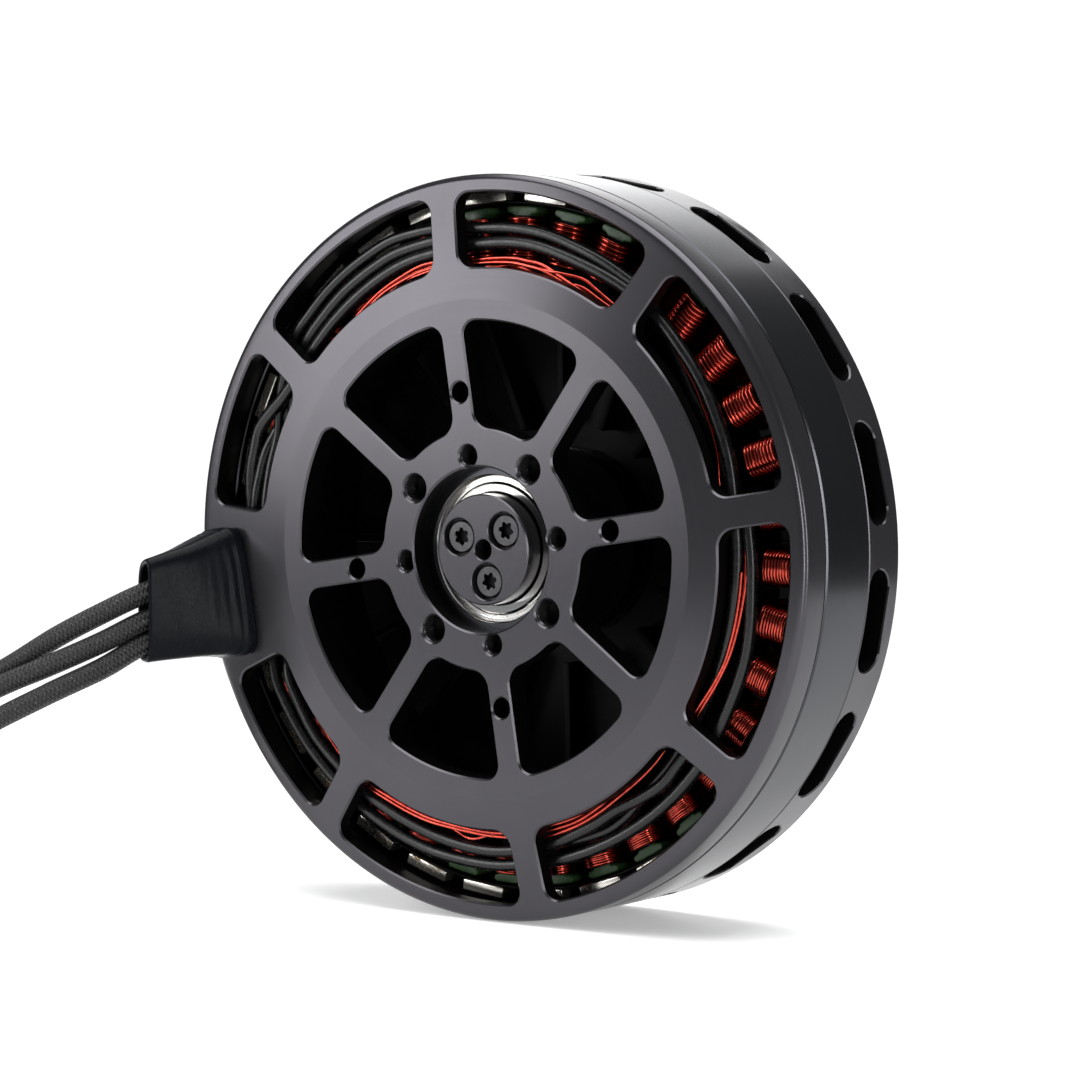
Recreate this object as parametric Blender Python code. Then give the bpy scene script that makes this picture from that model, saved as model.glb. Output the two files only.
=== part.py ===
"""Flat brushless outrunner motor: a fixed base with stator and leads, and a bell that spins round them.

Metres, +Z up. The motor's axis is Y: the base's mounting face is the plane y = 0 and looks towards -Y,
and the bell closes the motor at +Y. The origin is the centre of the mounting face.
"""

import math

import bmesh
import bpy
from mathutils import Matrix, Vector

# Turned surfaces
LARGE_STEPS = 48
SMALL_STEPS = 24
SHARP_ANGLE = math.radians(28)
GAP = 0.0003
SEAT = 0.0001
OVERRUN = 0.002

# Base: a flat hub, eight spokes, a flat ring that turns into a cone, and a short rim
RIM_RADIUS = 0.0830
RIM_BACK = 0.0113
RIM_WALL = 0.0026
RIM_FILLET = 0.0019
FLAT_RADIUS = 0.0555
CONE_ANGLE = math.radians(7.0)
PLATE_THICKNESS = 0.0038
SPOKE_THICKNESS = 0.0060
HUB_RADIUS = 0.0270
HUB_BORE = 0.0185
TUBE_RADIUS = 0.0216
TUBE_SHOULDER = 0.0169
TUBE_BACK = 0.0292
DRUM_INNER = 0.0560
DRUM_OUTER = 0.0593
DRUM_BACK = 0.0275
RIB_START = math.radians(9.26)
RIB_STEP = math.radians(45.0)
RIB_COUNT = 8
SPOKE_WIDTH = 0.0060
RIB_WIDTH = 0.0070
INNER_WINDOW = (HUB_RADIUS, 0.0508)
OUTER_WINDOW = (0.0624, 0.0791)
WINDOW_CORNER = 0.0036
HUB_HOLES = (0.0210, 0.0024)
THREAD_HOLES = (0.0224, 0.0031)
SPOKE_HOLES = (0.0352, 0.0023)
CUT_FRONT = -0.004
INNER_CUT = 0.0120
OUTER_CUT = 0.0105
BLIND_CUT = 0.0052
HOLE_STEPS = 10

# Lead exit: the rib opposite the first one is wide, with radial sides and a slot for the leads
EXIT_RIB = 4
EXIT_ANGLE = RIB_START + RIB_STEP * EXIT_RIB
EXIT_HALF = math.radians(14.7)
EXIT_SLOT = (0.0692, 0.0774)
EXIT_SLOT_HALF = math.radians(9.5)
EXIT_SLOT_CORNER = 0.0030

# Bearings: two sealed ball bearings, 25 x 37 x 7 mm
BEARING_INNER = 0.0125
BEARING_OUTER = 0.0184
BEARING_WIDTH = 0.0070
BEARING_PITCH = 0.01545
FRONT_BEARING = 0.0063
REAR_BEARING = 0.0220
BALL_RADIUS = 0.0014
BALL_COUNT = 8
RACE_GROOVE = 0.0017
RACE_LIP = 0.0009
SHIELD_INSET = 0.0004
SHIELD_THICKNESS = 0.0004
CAGE_HALF = 0.0004
CIRCLIP_FRONT = 0.0050
CIRCLIP_THICKNESS = 0.0010
CIRCLIP_INNER = 0.0165
CIRCLIP_OUTER = 0.0190
CIRCLIP_OPENING = math.radians(9)
CIRCLIP_EAR = math.radians(9)
CIRCLIP_EAR_RISE = 0.0014

# Stator
TOOTH_COUNT = 36
SEGMENTS = 6
SEGMENT_STEPS = 8
TOOTH_START = math.radians(8.6)
TOOTH_WIDTH = 0.0044
TOOTH_TIP = 0.0759
TOOTH_SHOE = 0.0745
SHOE_HALF = math.radians(3.2)
SHOE_EDGE = 0.0004
YOKE_INNER = 0.0596
YOKE_OUTER = 0.0620
STACK_FRONT = 0.0135
STACK_BACK = 0.0270
COIL_INNER = 0.0655
COIL_OUTER = 0.0742
COIL_WIDTH = 0.0088
COIL_RISE = 0.0029
COIL_CORNER = 0.0016
COIL_PAIRS = TOOTH_COUNT // 2
CROSSOVER_HALF = 0.0045
CROSSOVER_BACK = STACK_BACK + 0.0009
CROSSOVER_THICKNESS = 0.0014
CROSSOVER_RADII = (0.0674, 0.0690)

# Rotor
FLUX_FRONT = 0.0119
SHOULDER = 0.0288
FLUX_INNER = 0.0801
FLUX_CHAMFER = 0.0004
MAGNET_COUNT = 30
MAGNET_START = math.radians(-72.3)
MAGNET_WIDTH = 0.0113
MAGNET_INNER = 0.0768
CARRIER_INNER = 0.0794
CARRIER_OUTER = 0.0799
MAGNET_FRONT = 0.0125
MAGNET_BACK = 0.0286
BELL_FRONT = SHOULDER + 0.0002
BELL_BACK = 0.0411
BELL_WALL = 0.0036
BELL_PLATE = 0.0374
BELL_CHAMFER = 0.0003
BELL_BORE = 0.0060
BOSS_RADIUS = 0.0240
BOSS_BACK = 0.0428
SLOT_COUNT = 16
SLOT_START = math.radians(12.7)
SLOT_LENGTH = 0.0230
SLOT_WIDTH = 0.0079
SLOT_CENTRE = 0.0335
SLOT_CUT = (0.070, 0.088)
VANE_WIDTH = 0.0018
VANE_FRONT = 0.0318
VANE_INNER = 0.0275
VANE_OUTER = 0.0785
VANE_ROOT = 0.0010
POCKET_DEPTH = 0.0026
PROP_HOLES = (0.0175, 0.0021)
PROP_HOLE_FLOOR = 0.0385

# Shaft, its front cap and the screws that hold them
SHAFT_RADIUS = 0.0124
SHAFT_FLANGE = 0.0215
SHAFT_BORE = 0.0025
FLANGE_FRONT = 0.0335
SPACER_RADII = (0.0127, 0.0143)
CAP_FRONT = 0.0011
CAP_BACK = 0.0058
CAP_HOLE = 0.0023
CAP_CHAMFER = 0.0003
CAP_SCREWS = 3
CAP_SCREW_START = math.radians(38.5)
CAP_SCREW_CIRCLE = 0.0071
SCREW_HEAD = 0.00375
SCREW_HEAD_HEIGHT = 0.0024
SCREW_SHANK = 0.0018
SCREW_LENGTH = 0.0100
SCREW_STEPS = 8
SCREW_CHAMFER = 0.0003
SCREW_SUNK = 0.0004
SHANK_HOLE = SCREW_SHANK + GAP
CAP_SCREW_RECESS = 0.0019
RECESS_INNER = 0.72
RECESS_DEPTH = 0.0014
STAR_POINTS = 12
COUNTERBORE = 0.0042
COUNTERBORE_DEPTH = 0.0030
HUB_SCREWS = 4
HUB_SCREW_CIRCLE = 0.0165
HUB_SCREW_START = math.radians(45.0)
HUB_SCREW_LENGTH = 0.0078
HUB_SCREW_RECESS = 0.0018

# Leads: three sleeved wires that leave through a boot at the side of the face
LEAD_DIAMETER = 0.0050
LEAD_SPACING = 0.0115
PHASE_DIAMETER = 0.0030
PHASE_STEP = 13
CURVE_STEPS = 24
FLOOR = -RIM_RADIUS
LOOP_CENTRE = Vector((-0.162, -0.031, 0.0))
LOOP_START = 195
LOOP_STEPS = 7
CONNECTOR_SLEEVE = (0.00235, 0.0085)
CONNECTOR_PIN = (0.0019, 0.0154)
CONNECTOR_TIP = (0.0013, 0.0160)
CONNECTOR_STEP = 0.0005
CONNECTOR_SIDES = 12
BOOT_WALL = 0.0010
BOOT_LIFT = 0.0006
BOOT_CORNER = 0.0042
BOOT_STEPS = 4
BOOT_DIRECTION = Vector((-0.545, -0.839, 0.0)).normalized()
BOOT_MOUTH = Vector((-0.0843, -0.0152, -0.01635))
BOOT_MOUTH_SIZE = (0.0095, 0.0243)
BOOT_ROOT_RADIUS = 0.0742
BOOT_ROOT_ANGLE = math.radians(189.95)
BOOT_ROOT_SIZE = (0.0130, 0.0300)


def clear_scene():
    for item in list(bpy.data.objects):
        bpy.data.objects.remove(item, do_unlink=True)


def finish_of(name, colour, roughness, metallic):
    found = bpy.data.materials.get(name)
    if found:
        return found
    made = bpy.data.materials.new(name)
    made.use_nodes = True
    shader = made.node_tree.nodes["Principled BSDF"]
    shader.inputs["Base Color"].default_value = (*colour, 1.0)
    shader.inputs["Roughness"].default_value = roughness
    shader.inputs["Metallic"].default_value = metallic
    made.diffuse_color = (*colour, 1.0)
    return made


def anodised():
    return finish_of("anodised_grey", (0.10, 0.10, 0.105), 0.38, 0.85)


def black_steel():
    return finish_of("black_steel", (0.05, 0.052, 0.057), 0.30, 0.9)


def bright_steel():
    return finish_of("bearing_steel", (0.72, 0.71, 0.69), 0.18, 1.0)


def dark_screw():
    return finish_of("black_oxide", (0.09, 0.09, 0.09), 0.42, 0.8)


def nickel():
    return finish_of("nickel_plate", (0.66, 0.63, 0.57), 0.28, 1.0)


def epoxy_green():
    return finish_of("green_epoxy", (0.04, 0.12, 0.06), 0.45, 0.0)


def enamel():
    return finish_of("copper_enamel", (0.55, 0.09, 0.05), 0.30, 0.4)


def rubber():
    return finish_of("black_rubber", (0.02, 0.021, 0.024), 0.33, 0.0)


def braid():
    return finish_of("black_braid", (0.03, 0.03, 0.032), 0.75, 0.0)


def gold():
    return finish_of("gold_plate", (0.83, 0.60, 0.25), 0.25, 1.0)


def add_object(name, mesh, material, parent=None, smooth=True):
    made = bpy.data.objects.new(name, mesh)
    bpy.context.scene.collection.objects.link(made)
    if material and not mesh.materials:
        mesh.materials.append(material)
    if smooth:
        mesh.shade_smooth()
        mesh.set_sharp_from_angle(angle=SHARP_ANGLE)
    made.parent = parent
    return made


def mesh_from(name, bm):
    bmesh.ops.recalc_face_normals(bm, faces=bm.faces)
    mesh = bpy.data.meshes.new(name)
    bm.to_mesh(mesh)
    bm.free()
    return mesh


def polar(radius, angle, y=0.0):
    return Vector((radius * math.cos(angle), y, radius * math.sin(angle)))


def turned_mesh(name, profile, steps):
    """Turns a closed outline of (radius, y) points round the Y axis."""
    bm = bmesh.new()
    points = [bm.verts.new((radius, y, 0.0)) for radius, y in profile]
    edges = [bm.edges.new((a, b)) for a, b in zip(points, points[1:] + points[:1])]
    bmesh.ops.spin(
        bm,
        geom=points + edges,
        cent=(0, 0, 0),
        axis=(0, 1, 0),
        angle=math.tau,
        steps=steps,
        use_merge=True,
    )
    bmesh.ops.remove_doubles(bm, verts=bm.verts, dist=1e-7)
    bmesh.ops.dissolve_degenerate(bm, edges=bm.edges, dist=1e-7)
    loose = [edge for edge in bm.edges if not edge.link_faces]
    bmesh.ops.delete(bm, geom=loose, context="EDGES")
    return mesh_from(name, bm)


def extruded(bm, outlines, place, start, end):
    """Adds a solid drawn out from start to end. Its first outline is the outside; any others are holes."""
    edges = []
    for outline in outlines:
        points = [bm.verts.new(place(u, v, start)) for u, v in outline]
        edges += [bm.edges.new((a, b)) for a, b in zip(points, points[1:] + points[:1])]
    if len(outlines) == 1:
        faces = [bm.faces.new(points)]
    else:
        filled = bmesh.ops.triangle_fill(bm, edges=edges, use_beauty=True)
        faces = [item for item in filled["geom"] if isinstance(item, bmesh.types.BMFace)]
    moved = bmesh.ops.extrude_face_region(bm, geom=faces, use_keep_orig=True)
    away = place(0.0, 0.0, end) - place(0.0, 0.0, start)
    drawn = [item for item in moved["geom"] if isinstance(item, bmesh.types.BMVert)]
    bmesh.ops.translate(bm, vec=away, verts=drawn)


def along_axis(u, v, depth):
    return Vector((u, depth, v))


def outward(angle):
    """Places (along the tangent, along Y, outwards) coordinates at this angle of the motor."""
    tangent = Vector((-math.sin(angle), 0.0, math.cos(angle)))
    radial = Vector((math.cos(angle), 0.0, math.sin(angle)))
    return lambda u, v, depth: tangent * u + Vector((0.0, v, 0.0)) + radial * depth


def circle(radius, steps, centre=(0.0, 0.0)):
    turns = [math.tau * i / steps for i in range(steps)]
    return [(centre[0] + radius * math.cos(t), centre[1] + radius * math.sin(t)) for t in turns]


def on_circle(pattern_radius, angle):
    return (pattern_radius * math.cos(angle), pattern_radius * math.sin(angle))


def bend(before, corner, after, steps=2):
    """The points of a rounded corner, from before to after."""
    found = []
    for i in range(steps + 1):
        t = i / steps
        found.append(before * (1 - t) ** 2 + corner * (2 * t * (1 - t)) + after * t**2)
    return found


def window_outline(radii, low, high, corner, steps=4):
    """A window with rounded corners. Each side gives its angle at a radius."""

    def ends_of(radius):
        return low(radius), high(radius)

    def at(radius, angle):
        return Vector(on_circle(radius, angle))

    inner, outer = radii
    corners = {radius: [at(radius, angle) for angle in ends_of(radius)] for radius in radii}
    points = []
    for radius, order in ((outer, (0, 1)), (inner, (1, 0))):
        ends = ends_of(radius)
        cut = corner / radius
        span = [ends[0] + cut, ends[1] - cut]
        other = inner if radius == outer else outer
        first, last = (corners[radius][i] for i in order)
        first_side = (corners[other][order[0]] - first).normalized()
        last_side = (corners[other][order[1]] - last).normalized()
        arc_start, arc_end = span[order[0]], span[order[1]]
        points += bend(first + first_side * corner, first, at(radius, arc_start))
        for i in range(1, steps):
            points.append(at(radius, arc_start + (arc_end - arc_start) * i / steps))
        points += bend(at(radius, arc_end), last, last + last_side * corner)
    return [tuple(point) for point in points]


def parallel_side(angle, width, sign):
    """The side of a rib of constant width."""
    return lambda radius: angle + sign * math.asin(width / 2 / radius)


def radial_side(angle):
    return lambda _: angle


def stadium(length, width, centre_y, steps=4):
    half = (length - width) / 2
    points = []
    for side in (1, -1):
        for i in range(steps + 1):
            turn = math.pi * (i / steps - 0.5)
            points.append(
                (side * (half + width / 2 * math.cos(turn)), centre_y + side * width / 2 * math.sin(turn))
            )
    return points


def cutter(name, bm):
    made = add_object(name, mesh_from(name, bm), None, smooth=False)
    made.hide_render = True
    made.display_type = "WIRE"
    return made


def apply_tool(target, tool, operation="DIFFERENCE"):
    modifier = target.modifiers.new(tool.name, "BOOLEAN")
    modifier.operation = operation
    modifier.solver = "EXACT"
    modifier.object = tool


def cone_y(radius):
    return max(0.0, radius - FLAT_RADIUS) * math.tan(CONE_ANGLE)


def rib_angles():
    return [RIB_START + RIB_STEP * k for k in range(RIB_COUNT)]


def outer_rib_side(rib, sign):
    """The side of an outer rib that faces up (1) or down (-1) in angle."""
    angle = RIB_START + RIB_STEP * rib
    if rib == EXIT_RIB:
        return radial_side(angle + sign * EXIT_HALF)
    return parallel_side(angle, RIB_WIDTH, sign)


def make_base():
    edge = RIM_RADIUS - RIM_FILLET
    rounded = [
        (
            edge + RIM_FILLET * math.sin(math.pi / 2 * i / 2),
            cone_y(edge) + RIM_FILLET * (1 - math.cos(math.pi / 2 * i / 2)),
        )
        for i in range(3)
    ]
    groove = CIRCLIP_OUTER + GAP
    profile = [
        (HUB_BORE, 0.0),
        (FLAT_RADIUS, 0.0),
        *rounded,
        (RIM_RADIUS, RIM_BACK),
        (RIM_RADIUS - RIM_WALL, RIM_BACK),
        (RIM_RADIUS - RIM_WALL, cone_y(RIM_RADIUS) + PLATE_THICKNESS),
        (DRUM_OUTER, cone_y(DRUM_OUTER) + PLATE_THICKNESS),
        (DRUM_OUTER, SPOKE_THICKNESS),
        (groove, SPOKE_THICKNESS),
        (groove, CIRCLIP_FRONT - SEAT),
        (HUB_BORE, CIRCLIP_FRONT - SEAT),
    ]
    base = add_object("base_plate", turned_mesh("base_plate", profile, LARGE_STEPS), anodised())

    windows = bmesh.new()
    for k, angle in enumerate(rib_angles()):
        low = parallel_side(angle, SPOKE_WIDTH, 1)
        high = parallel_side(angle + RIB_STEP, SPOKE_WIDTH, -1)
        inner = window_outline(INNER_WINDOW, low, high, WINDOW_CORNER)
        extruded(windows, [inner], along_axis, CUT_FRONT, INNER_CUT)
        low, high = outer_rib_side(k, 1), outer_rib_side(k + 1, -1)
        outer = window_outline(OUTER_WINDOW, low, high, WINDOW_CORNER)
        extruded(windows, [outer], along_axis, CUT_FRONT, OUTER_CUT)
    low, high = radial_side(EXIT_ANGLE - EXIT_SLOT_HALF), radial_side(EXIT_ANGLE + EXIT_SLOT_HALF)
    slot = window_outline(EXIT_SLOT, low, high, EXIT_SLOT_CORNER)
    extruded(windows, [slot], along_axis, CUT_FRONT, OUTER_CUT)
    apply_tool(base, cutter("base_window_cutter", windows))

    holes = bmesh.new()
    for k, angle in enumerate(rib_angles()):
        radius, hole = HUB_HOLES if k % 2 == 0 else THREAD_HOLES
        outline = circle(hole, HOLE_STEPS, on_circle(radius, angle))
        extruded(holes, [outline], along_axis, CUT_FRONT, BLIND_CUT)
        if k % 2 == 0:
            radius, hole = SPOKE_HOLES
            outline = circle(hole, HOLE_STEPS, on_circle(radius, angle))
            extruded(holes, [outline], along_axis, CUT_FRONT, OUTER_CUT)
    apply_tool(base, cutter("base_hole_cutter", holes))


def make_bearing_tube():
    """The tube behind the hub, with a seat for a bearing at each end."""
    front = SPOKE_THICKNESS + SEAT
    front_seat = FRONT_BEARING + BEARING_WIDTH + SEAT
    profile = [
        (TUBE_RADIUS, front),
        (TUBE_RADIUS, TUBE_BACK),
        (HUB_BORE, TUBE_BACK),
        (HUB_BORE, REAR_BEARING - SEAT),
        (TUBE_SHOULDER, REAR_BEARING - SEAT),
        (TUBE_SHOULDER, front_seat),
        (HUB_BORE, front_seat),
        (HUB_BORE, front),
    ]
    add_object("bearing_tube", turned_mesh("bearing_tube", profile, LARGE_STEPS), anodised())


def make_drum():
    """The ring that carries the stator."""
    front = SPOKE_THICKNESS + SEAT
    profile = [(DRUM_OUTER, front), (DRUM_OUTER, DRUM_BACK), (DRUM_INNER, DRUM_BACK), (DRUM_INNER, front)]
    add_object("stator_drum", turned_mesh("stator_drum", profile, LARGE_STEPS), anodised())


def make_circlip():
    """An open ring in the groove of the bore, with an ear at each end."""
    outer, inner = [], []
    for i in range(SMALL_STEPS + 1):
        angle = CIRCLIP_OPENING + (math.tau - 2 * CIRCLIP_OPENING) * i / SMALL_STEPS
        outer.append(on_circle(CIRCLIP_OUTER, angle))
        from_end = min(angle - CIRCLIP_OPENING, math.tau - CIRCLIP_OPENING - angle)
        rise = CIRCLIP_EAR_RISE if from_end < CIRCLIP_EAR else 0.0
        inner.append(on_circle(CIRCLIP_INNER - rise, angle))
    bm = bmesh.new()
    outline = outer + inner[::-1]
    extruded(bm, [outline], along_axis, CIRCLIP_FRONT, CIRCLIP_FRONT + CIRCLIP_THICKNESS)
    add_object("base_circlip", mesh_from("base_circlip", bm), black_steel())


def make_bearing(label, front, rotor, cage_axis):
    back = front + BEARING_WIDTH
    middle = (front + back) / 2
    outer_lip = BEARING_PITCH + RACE_LIP
    inner_lip = BEARING_PITCH - RACE_LIP
    groove_outer = BEARING_PITCH + RACE_GROOVE
    groove_inner = BEARING_PITCH - RACE_GROOVE
    outer_profile = [
        (outer_lip, front),
        (BEARING_OUTER, front),
        (BEARING_OUTER, back),
        (outer_lip, back),
        (outer_lip, middle + RACE_GROOVE),
        (groove_outer, middle),
        (outer_lip, middle - RACE_GROOVE),
    ]
    inner_profile = [
        (BEARING_INNER, front),
        (inner_lip, front),
        (inner_lip, middle - RACE_GROOVE),
        (groove_inner, middle),
        (inner_lip, middle + RACE_GROOVE),
        (inner_lip, back),
        (BEARING_INNER, back),
    ]
    outer_mesh = turned_mesh(f"{label}_outer_race", outer_profile, SMALL_STEPS)
    add_object(f"{label}_outer_race", outer_mesh, bright_steel())
    inner_mesh = turned_mesh(f"{label}_inner_race", inner_profile, SMALL_STEPS)
    add_object(f"{label}_inner_race", inner_mesh, bright_steel(), rotor)

    shield_front = front + SHIELD_INSET
    shield_back = shield_front + SHIELD_THICKNESS
    shield_profile = [
        (inner_lip + 2 * SEAT, shield_front),
        (outer_lip - SEAT, shield_front),
        (outer_lip - SEAT, shield_back),
        (inner_lip + 2 * SEAT, shield_back),
    ]
    if label == "rear_bearing":
        shield_profile = [(radius, front + back - y) for radius, y in shield_profile]
    shield = turned_mesh(f"{label}_shield", shield_profile, SMALL_STEPS)
    add_object(f"{label}_shield", shield, bright_steel())

    band_profile = [
        (BEARING_PITCH - CAGE_HALF, middle - CAGE_HALF),
        (BEARING_PITCH + CAGE_HALF, middle - CAGE_HALF),
        (BEARING_PITCH + CAGE_HALF, middle + CAGE_HALF),
        (BEARING_PITCH - CAGE_HALF, middle + CAGE_HALF),
    ]
    ring = turned_mesh(f"{label}_balls", band_profile, BALL_COUNT * 2)
    cage = add_object(f"{label}_balls", ring, bright_steel(), cage_axis)
    balls = bmesh.new()
    for i in range(BALL_COUNT):
        centre = polar(BEARING_PITCH, math.tau * (i + 0.5) / BALL_COUNT, middle)
        bmesh.ops.create_uvsphere(
            balls,
            u_segments=6,
            v_segments=4,
            radius=BALL_RADIUS,
            matrix=Matrix.Translation(centre),
        )
    apply_tool(cage, cutter(f"{label}_ball_tool", balls), "UNION")


def tooth_outline(angle):
    half_foot = math.asin(TOOTH_WIDTH / 2 / YOKE_OUTER)
    half_neck = math.asin(TOOTH_WIDTH / 2 / TOOTH_SHOE)
    return [
        on_circle(YOKE_OUTER, angle - half_foot),
        on_circle(TOOTH_SHOE, angle - half_neck),
        on_circle(TOOTH_SHOE + SHOE_EDGE, angle - SHOE_HALF),
        on_circle(TOOTH_TIP, angle - SHOE_HALF),
        on_circle(TOOTH_TIP, angle),
        on_circle(TOOTH_TIP, angle + SHOE_HALF),
        on_circle(TOOTH_SHOE + SHOE_EDGE, angle + SHOE_HALF),
        on_circle(TOOTH_SHOE, angle + half_neck),
        on_circle(YOKE_OUTER, angle + half_foot),
    ]


def make_stator():
    """The stator core, in equal segments that meet between teeth."""
    pitch = math.tau / TOOTH_COUNT
    teeth = TOOTH_COUNT // SEGMENTS
    inset = GAP / 2 / YOKE_INNER
    for s in range(SEGMENTS):
        first = TOOTH_START + pitch * teeth * s
        low = first - pitch / 2 + inset
        high = first + pitch * (teeth - 0.5) - inset
        outline = [on_circle(YOKE_OUTER, low)]
        for i in range(teeth):
            outline += tooth_outline(first + pitch * i)
        outline.append(on_circle(YOKE_OUTER, high))
        for i in range(SEGMENT_STEPS + 1):
            outline.append(on_circle(YOKE_INNER, high + (low - high) * i / SEGMENT_STEPS))
        bm = bmesh.new()
        extruded(bm, [outline], along_axis, STACK_FRONT, STACK_BACK)
        name = f"stator_segment_{s + 1}"
        add_object(name, mesh_from(name, bm), epoxy_green())


def box_outline(half, low, high, corner):
    points = []
    for side_u, side_v, order in ((1, 1, 0), (-1, 1, 1), (-1, -1, 0), (1, -1, 1)):
        u = side_u * half
        v = high if side_v > 0 else low
        near_v = (u, v - side_v * corner)
        near_u = (u - side_u * corner, v)
        points += [near_v, near_u] if order == 0 else [near_u, near_v]
    return points


def coil_outlines():
    front, back = STACK_FRONT - COIL_RISE, STACK_BACK + COIL_RISE
    outer = box_outline(COIL_WIDTH / 2, front, back, COIL_CORNER)
    half = TOOTH_WIDTH / 2 + GAP
    low, high = STACK_FRONT - GAP, STACK_BACK + GAP
    inner = [(half, low), (half, high), (-half, high), (-half, low)]
    return [outer, inner]


def make_coils():
    """Eighteen pairs of neighbouring coils, each pair joined behind the stator by its crossover wire."""
    half_pitch = math.pi / TOOTH_COUNT
    first, second = bmesh.new(), bmesh.new()
    extruded(first, coil_outlines(), outward(-half_pitch), COIL_INNER, COIL_OUTER)
    extruded(second, coil_outlines(), outward(half_pitch), COIL_INNER, COIL_OUTER)
    crossover = bmesh.new()
    wire = box_outline(CROSSOVER_HALF, CROSSOVER_BACK, CROSSOVER_BACK + CROSSOVER_THICKNESS, GAP)
    extruded(crossover, [wire], outward(0.0), *CROSSOVER_RADII)
    pair = add_object("coil_pair_pattern", mesh_from("coil_pair_pattern", first), enamel())
    apply_tool(pair, cutter("coil_second_tool", second), "UNION")
    apply_tool(pair, cutter("coil_crossover_tool", crossover), "UNION")
    bpy.context.view_layer.update()
    shown = pair.evaluated_get(bpy.context.evaluated_depsgraph_get())
    mesh = bpy.data.meshes.new_from_object(shown)
    mesh.name = "coil_pair"
    bpy.data.objects.remove(pair, do_unlink=True)
    for i in range(COIL_PAIRS):
        angle = TOOTH_START + half_pitch + 2 * math.tau * i / TOOTH_COUNT
        made = add_object(f"coil_pair_{i + 1:02d}", mesh, enamel())
        made.rotation_euler = (0.0, -angle, 0.0)


def make_flux_ring(rotor):
    profile = [
        (FLUX_INNER, FLUX_FRONT),
        (RIM_RADIUS - FLUX_CHAMFER, FLUX_FRONT),
        (RIM_RADIUS, FLUX_FRONT + FLUX_CHAMFER),
        (RIM_RADIUS, SHOULDER),
        (FLUX_INNER, SHOULDER),
    ]
    add_object("flux_ring", turned_mesh("flux_ring", profile, LARGE_STEPS), black_steel(), rotor)


def make_magnets(rotor):
    """Thirty magnets on one thin carrier band."""
    inner = []
    for i in range(MAGNET_COUNT):
        angle = MAGNET_START + math.tau * i / MAGNET_COUNT
        half = math.asin(MAGNET_WIDTH / 2 / MAGNET_INNER)
        foot = math.asin(MAGNET_WIDTH / 2 / CARRIER_INNER)
        inner += [
            on_circle(CARRIER_INNER, angle - foot),
            on_circle(MAGNET_INNER, angle - half),
            on_circle(MAGNET_INNER, angle + half),
            on_circle(CARRIER_INNER, angle + foot),
        ]
    bm = bmesh.new()
    outer = circle(CARRIER_OUTER, LARGE_STEPS)
    extruded(bm, [outer, inner], along_axis, MAGNET_FRONT, MAGNET_BACK)
    add_object("magnet_ring", mesh_from("magnet_ring", bm), nickel(), rotor)


def make_bell_ring(rotor):
    """The slotted wall of the bell."""
    wall = RIM_RADIUS - BELL_WALL
    profile = [
        (wall, BELL_FRONT),
        (RIM_RADIUS, BELL_FRONT),
        (RIM_RADIUS, BELL_BACK - BELL_CHAMFER),
        (RIM_RADIUS - BELL_CHAMFER, BELL_BACK),
        (wall, BELL_BACK),
    ]
    ring = add_object("bell_ring", turned_mesh("bell_ring", profile, LARGE_STEPS), anodised(), rotor)

    slots = bmesh.new()
    slot = stadium(SLOT_LENGTH, SLOT_WIDTH, SLOT_CENTRE)
    for i in range(SLOT_COUNT):
        place = outward(SLOT_START + math.tau * i / SLOT_COUNT)
        extruded(slots, [slot], place, *SLOT_CUT)
    apply_tool(ring, cutter("bell_slot_cutter", slots))


def make_bell(rotor):
    """The back plate of the bell, with its boss, vanes and holes."""
    edge = RIM_RADIUS - BELL_WALL - SEAT
    profile = [
        (edge, BELL_PLATE),
        (edge, BELL_BACK),
        (BOSS_RADIUS, BELL_BACK),
        (BOSS_RADIUS, BOSS_BACK),
        (BELL_BORE, BOSS_BACK),
        (BELL_BORE, BELL_PLATE),
    ]
    bell = add_object("rotor_bell", turned_mesh("rotor_bell", profile, LARGE_STEPS), anodised(), rotor)

    vanes = bmesh.new()
    vane = box_outline(VANE_WIDTH / 2, VANE_FRONT, BELL_PLATE + VANE_ROOT, GAP)
    for i in range(SLOT_COUNT):
        place = outward(SLOT_START + math.tau * (i + 0.5) / SLOT_COUNT)
        extruded(vanes, [vane], place, VANE_INNER, VANE_OUTER)
    apply_tool(bell, cutter("bell_vane_tool", vanes), "UNION")

    pockets = bmesh.new()
    for k in range(HUB_SCREWS):
        head = on_circle(HUB_SCREW_CIRCLE, HUB_SCREW_START + math.tau * k / HUB_SCREWS)
        outline = circle(COUNTERBORE, SMALL_STEPS // 2, head)
        extruded(pockets, [outline], along_axis, BOSS_BACK - POCKET_DEPTH, BOSS_BACK + OVERRUN)
        hole = on_circle(PROP_HOLES[0], math.tau * k / HUB_SCREWS)
        outline = circle(PROP_HOLES[1], HOLE_STEPS, hole)
        extruded(pockets, [outline], along_axis, PROP_HOLE_FLOOR, BOSS_BACK + OVERRUN)
    apply_tool(bell, cutter("bell_pocket_cutter", pockets))

    shanks = bmesh.new()
    for k in range(HUB_SCREWS):
        centre = on_circle(HUB_SCREW_CIRCLE, HUB_SCREW_START + math.tau * k / HUB_SCREWS)
        outline = circle(SHANK_HOLE, HOLE_STEPS, centre)
        extruded(shanks, [outline], along_axis, BELL_PLATE - OVERRUN, BOSS_BACK - POCKET_DEPTH / 2)
    apply_tool(bell, cutter("bell_shank_cutter", shanks))


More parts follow.
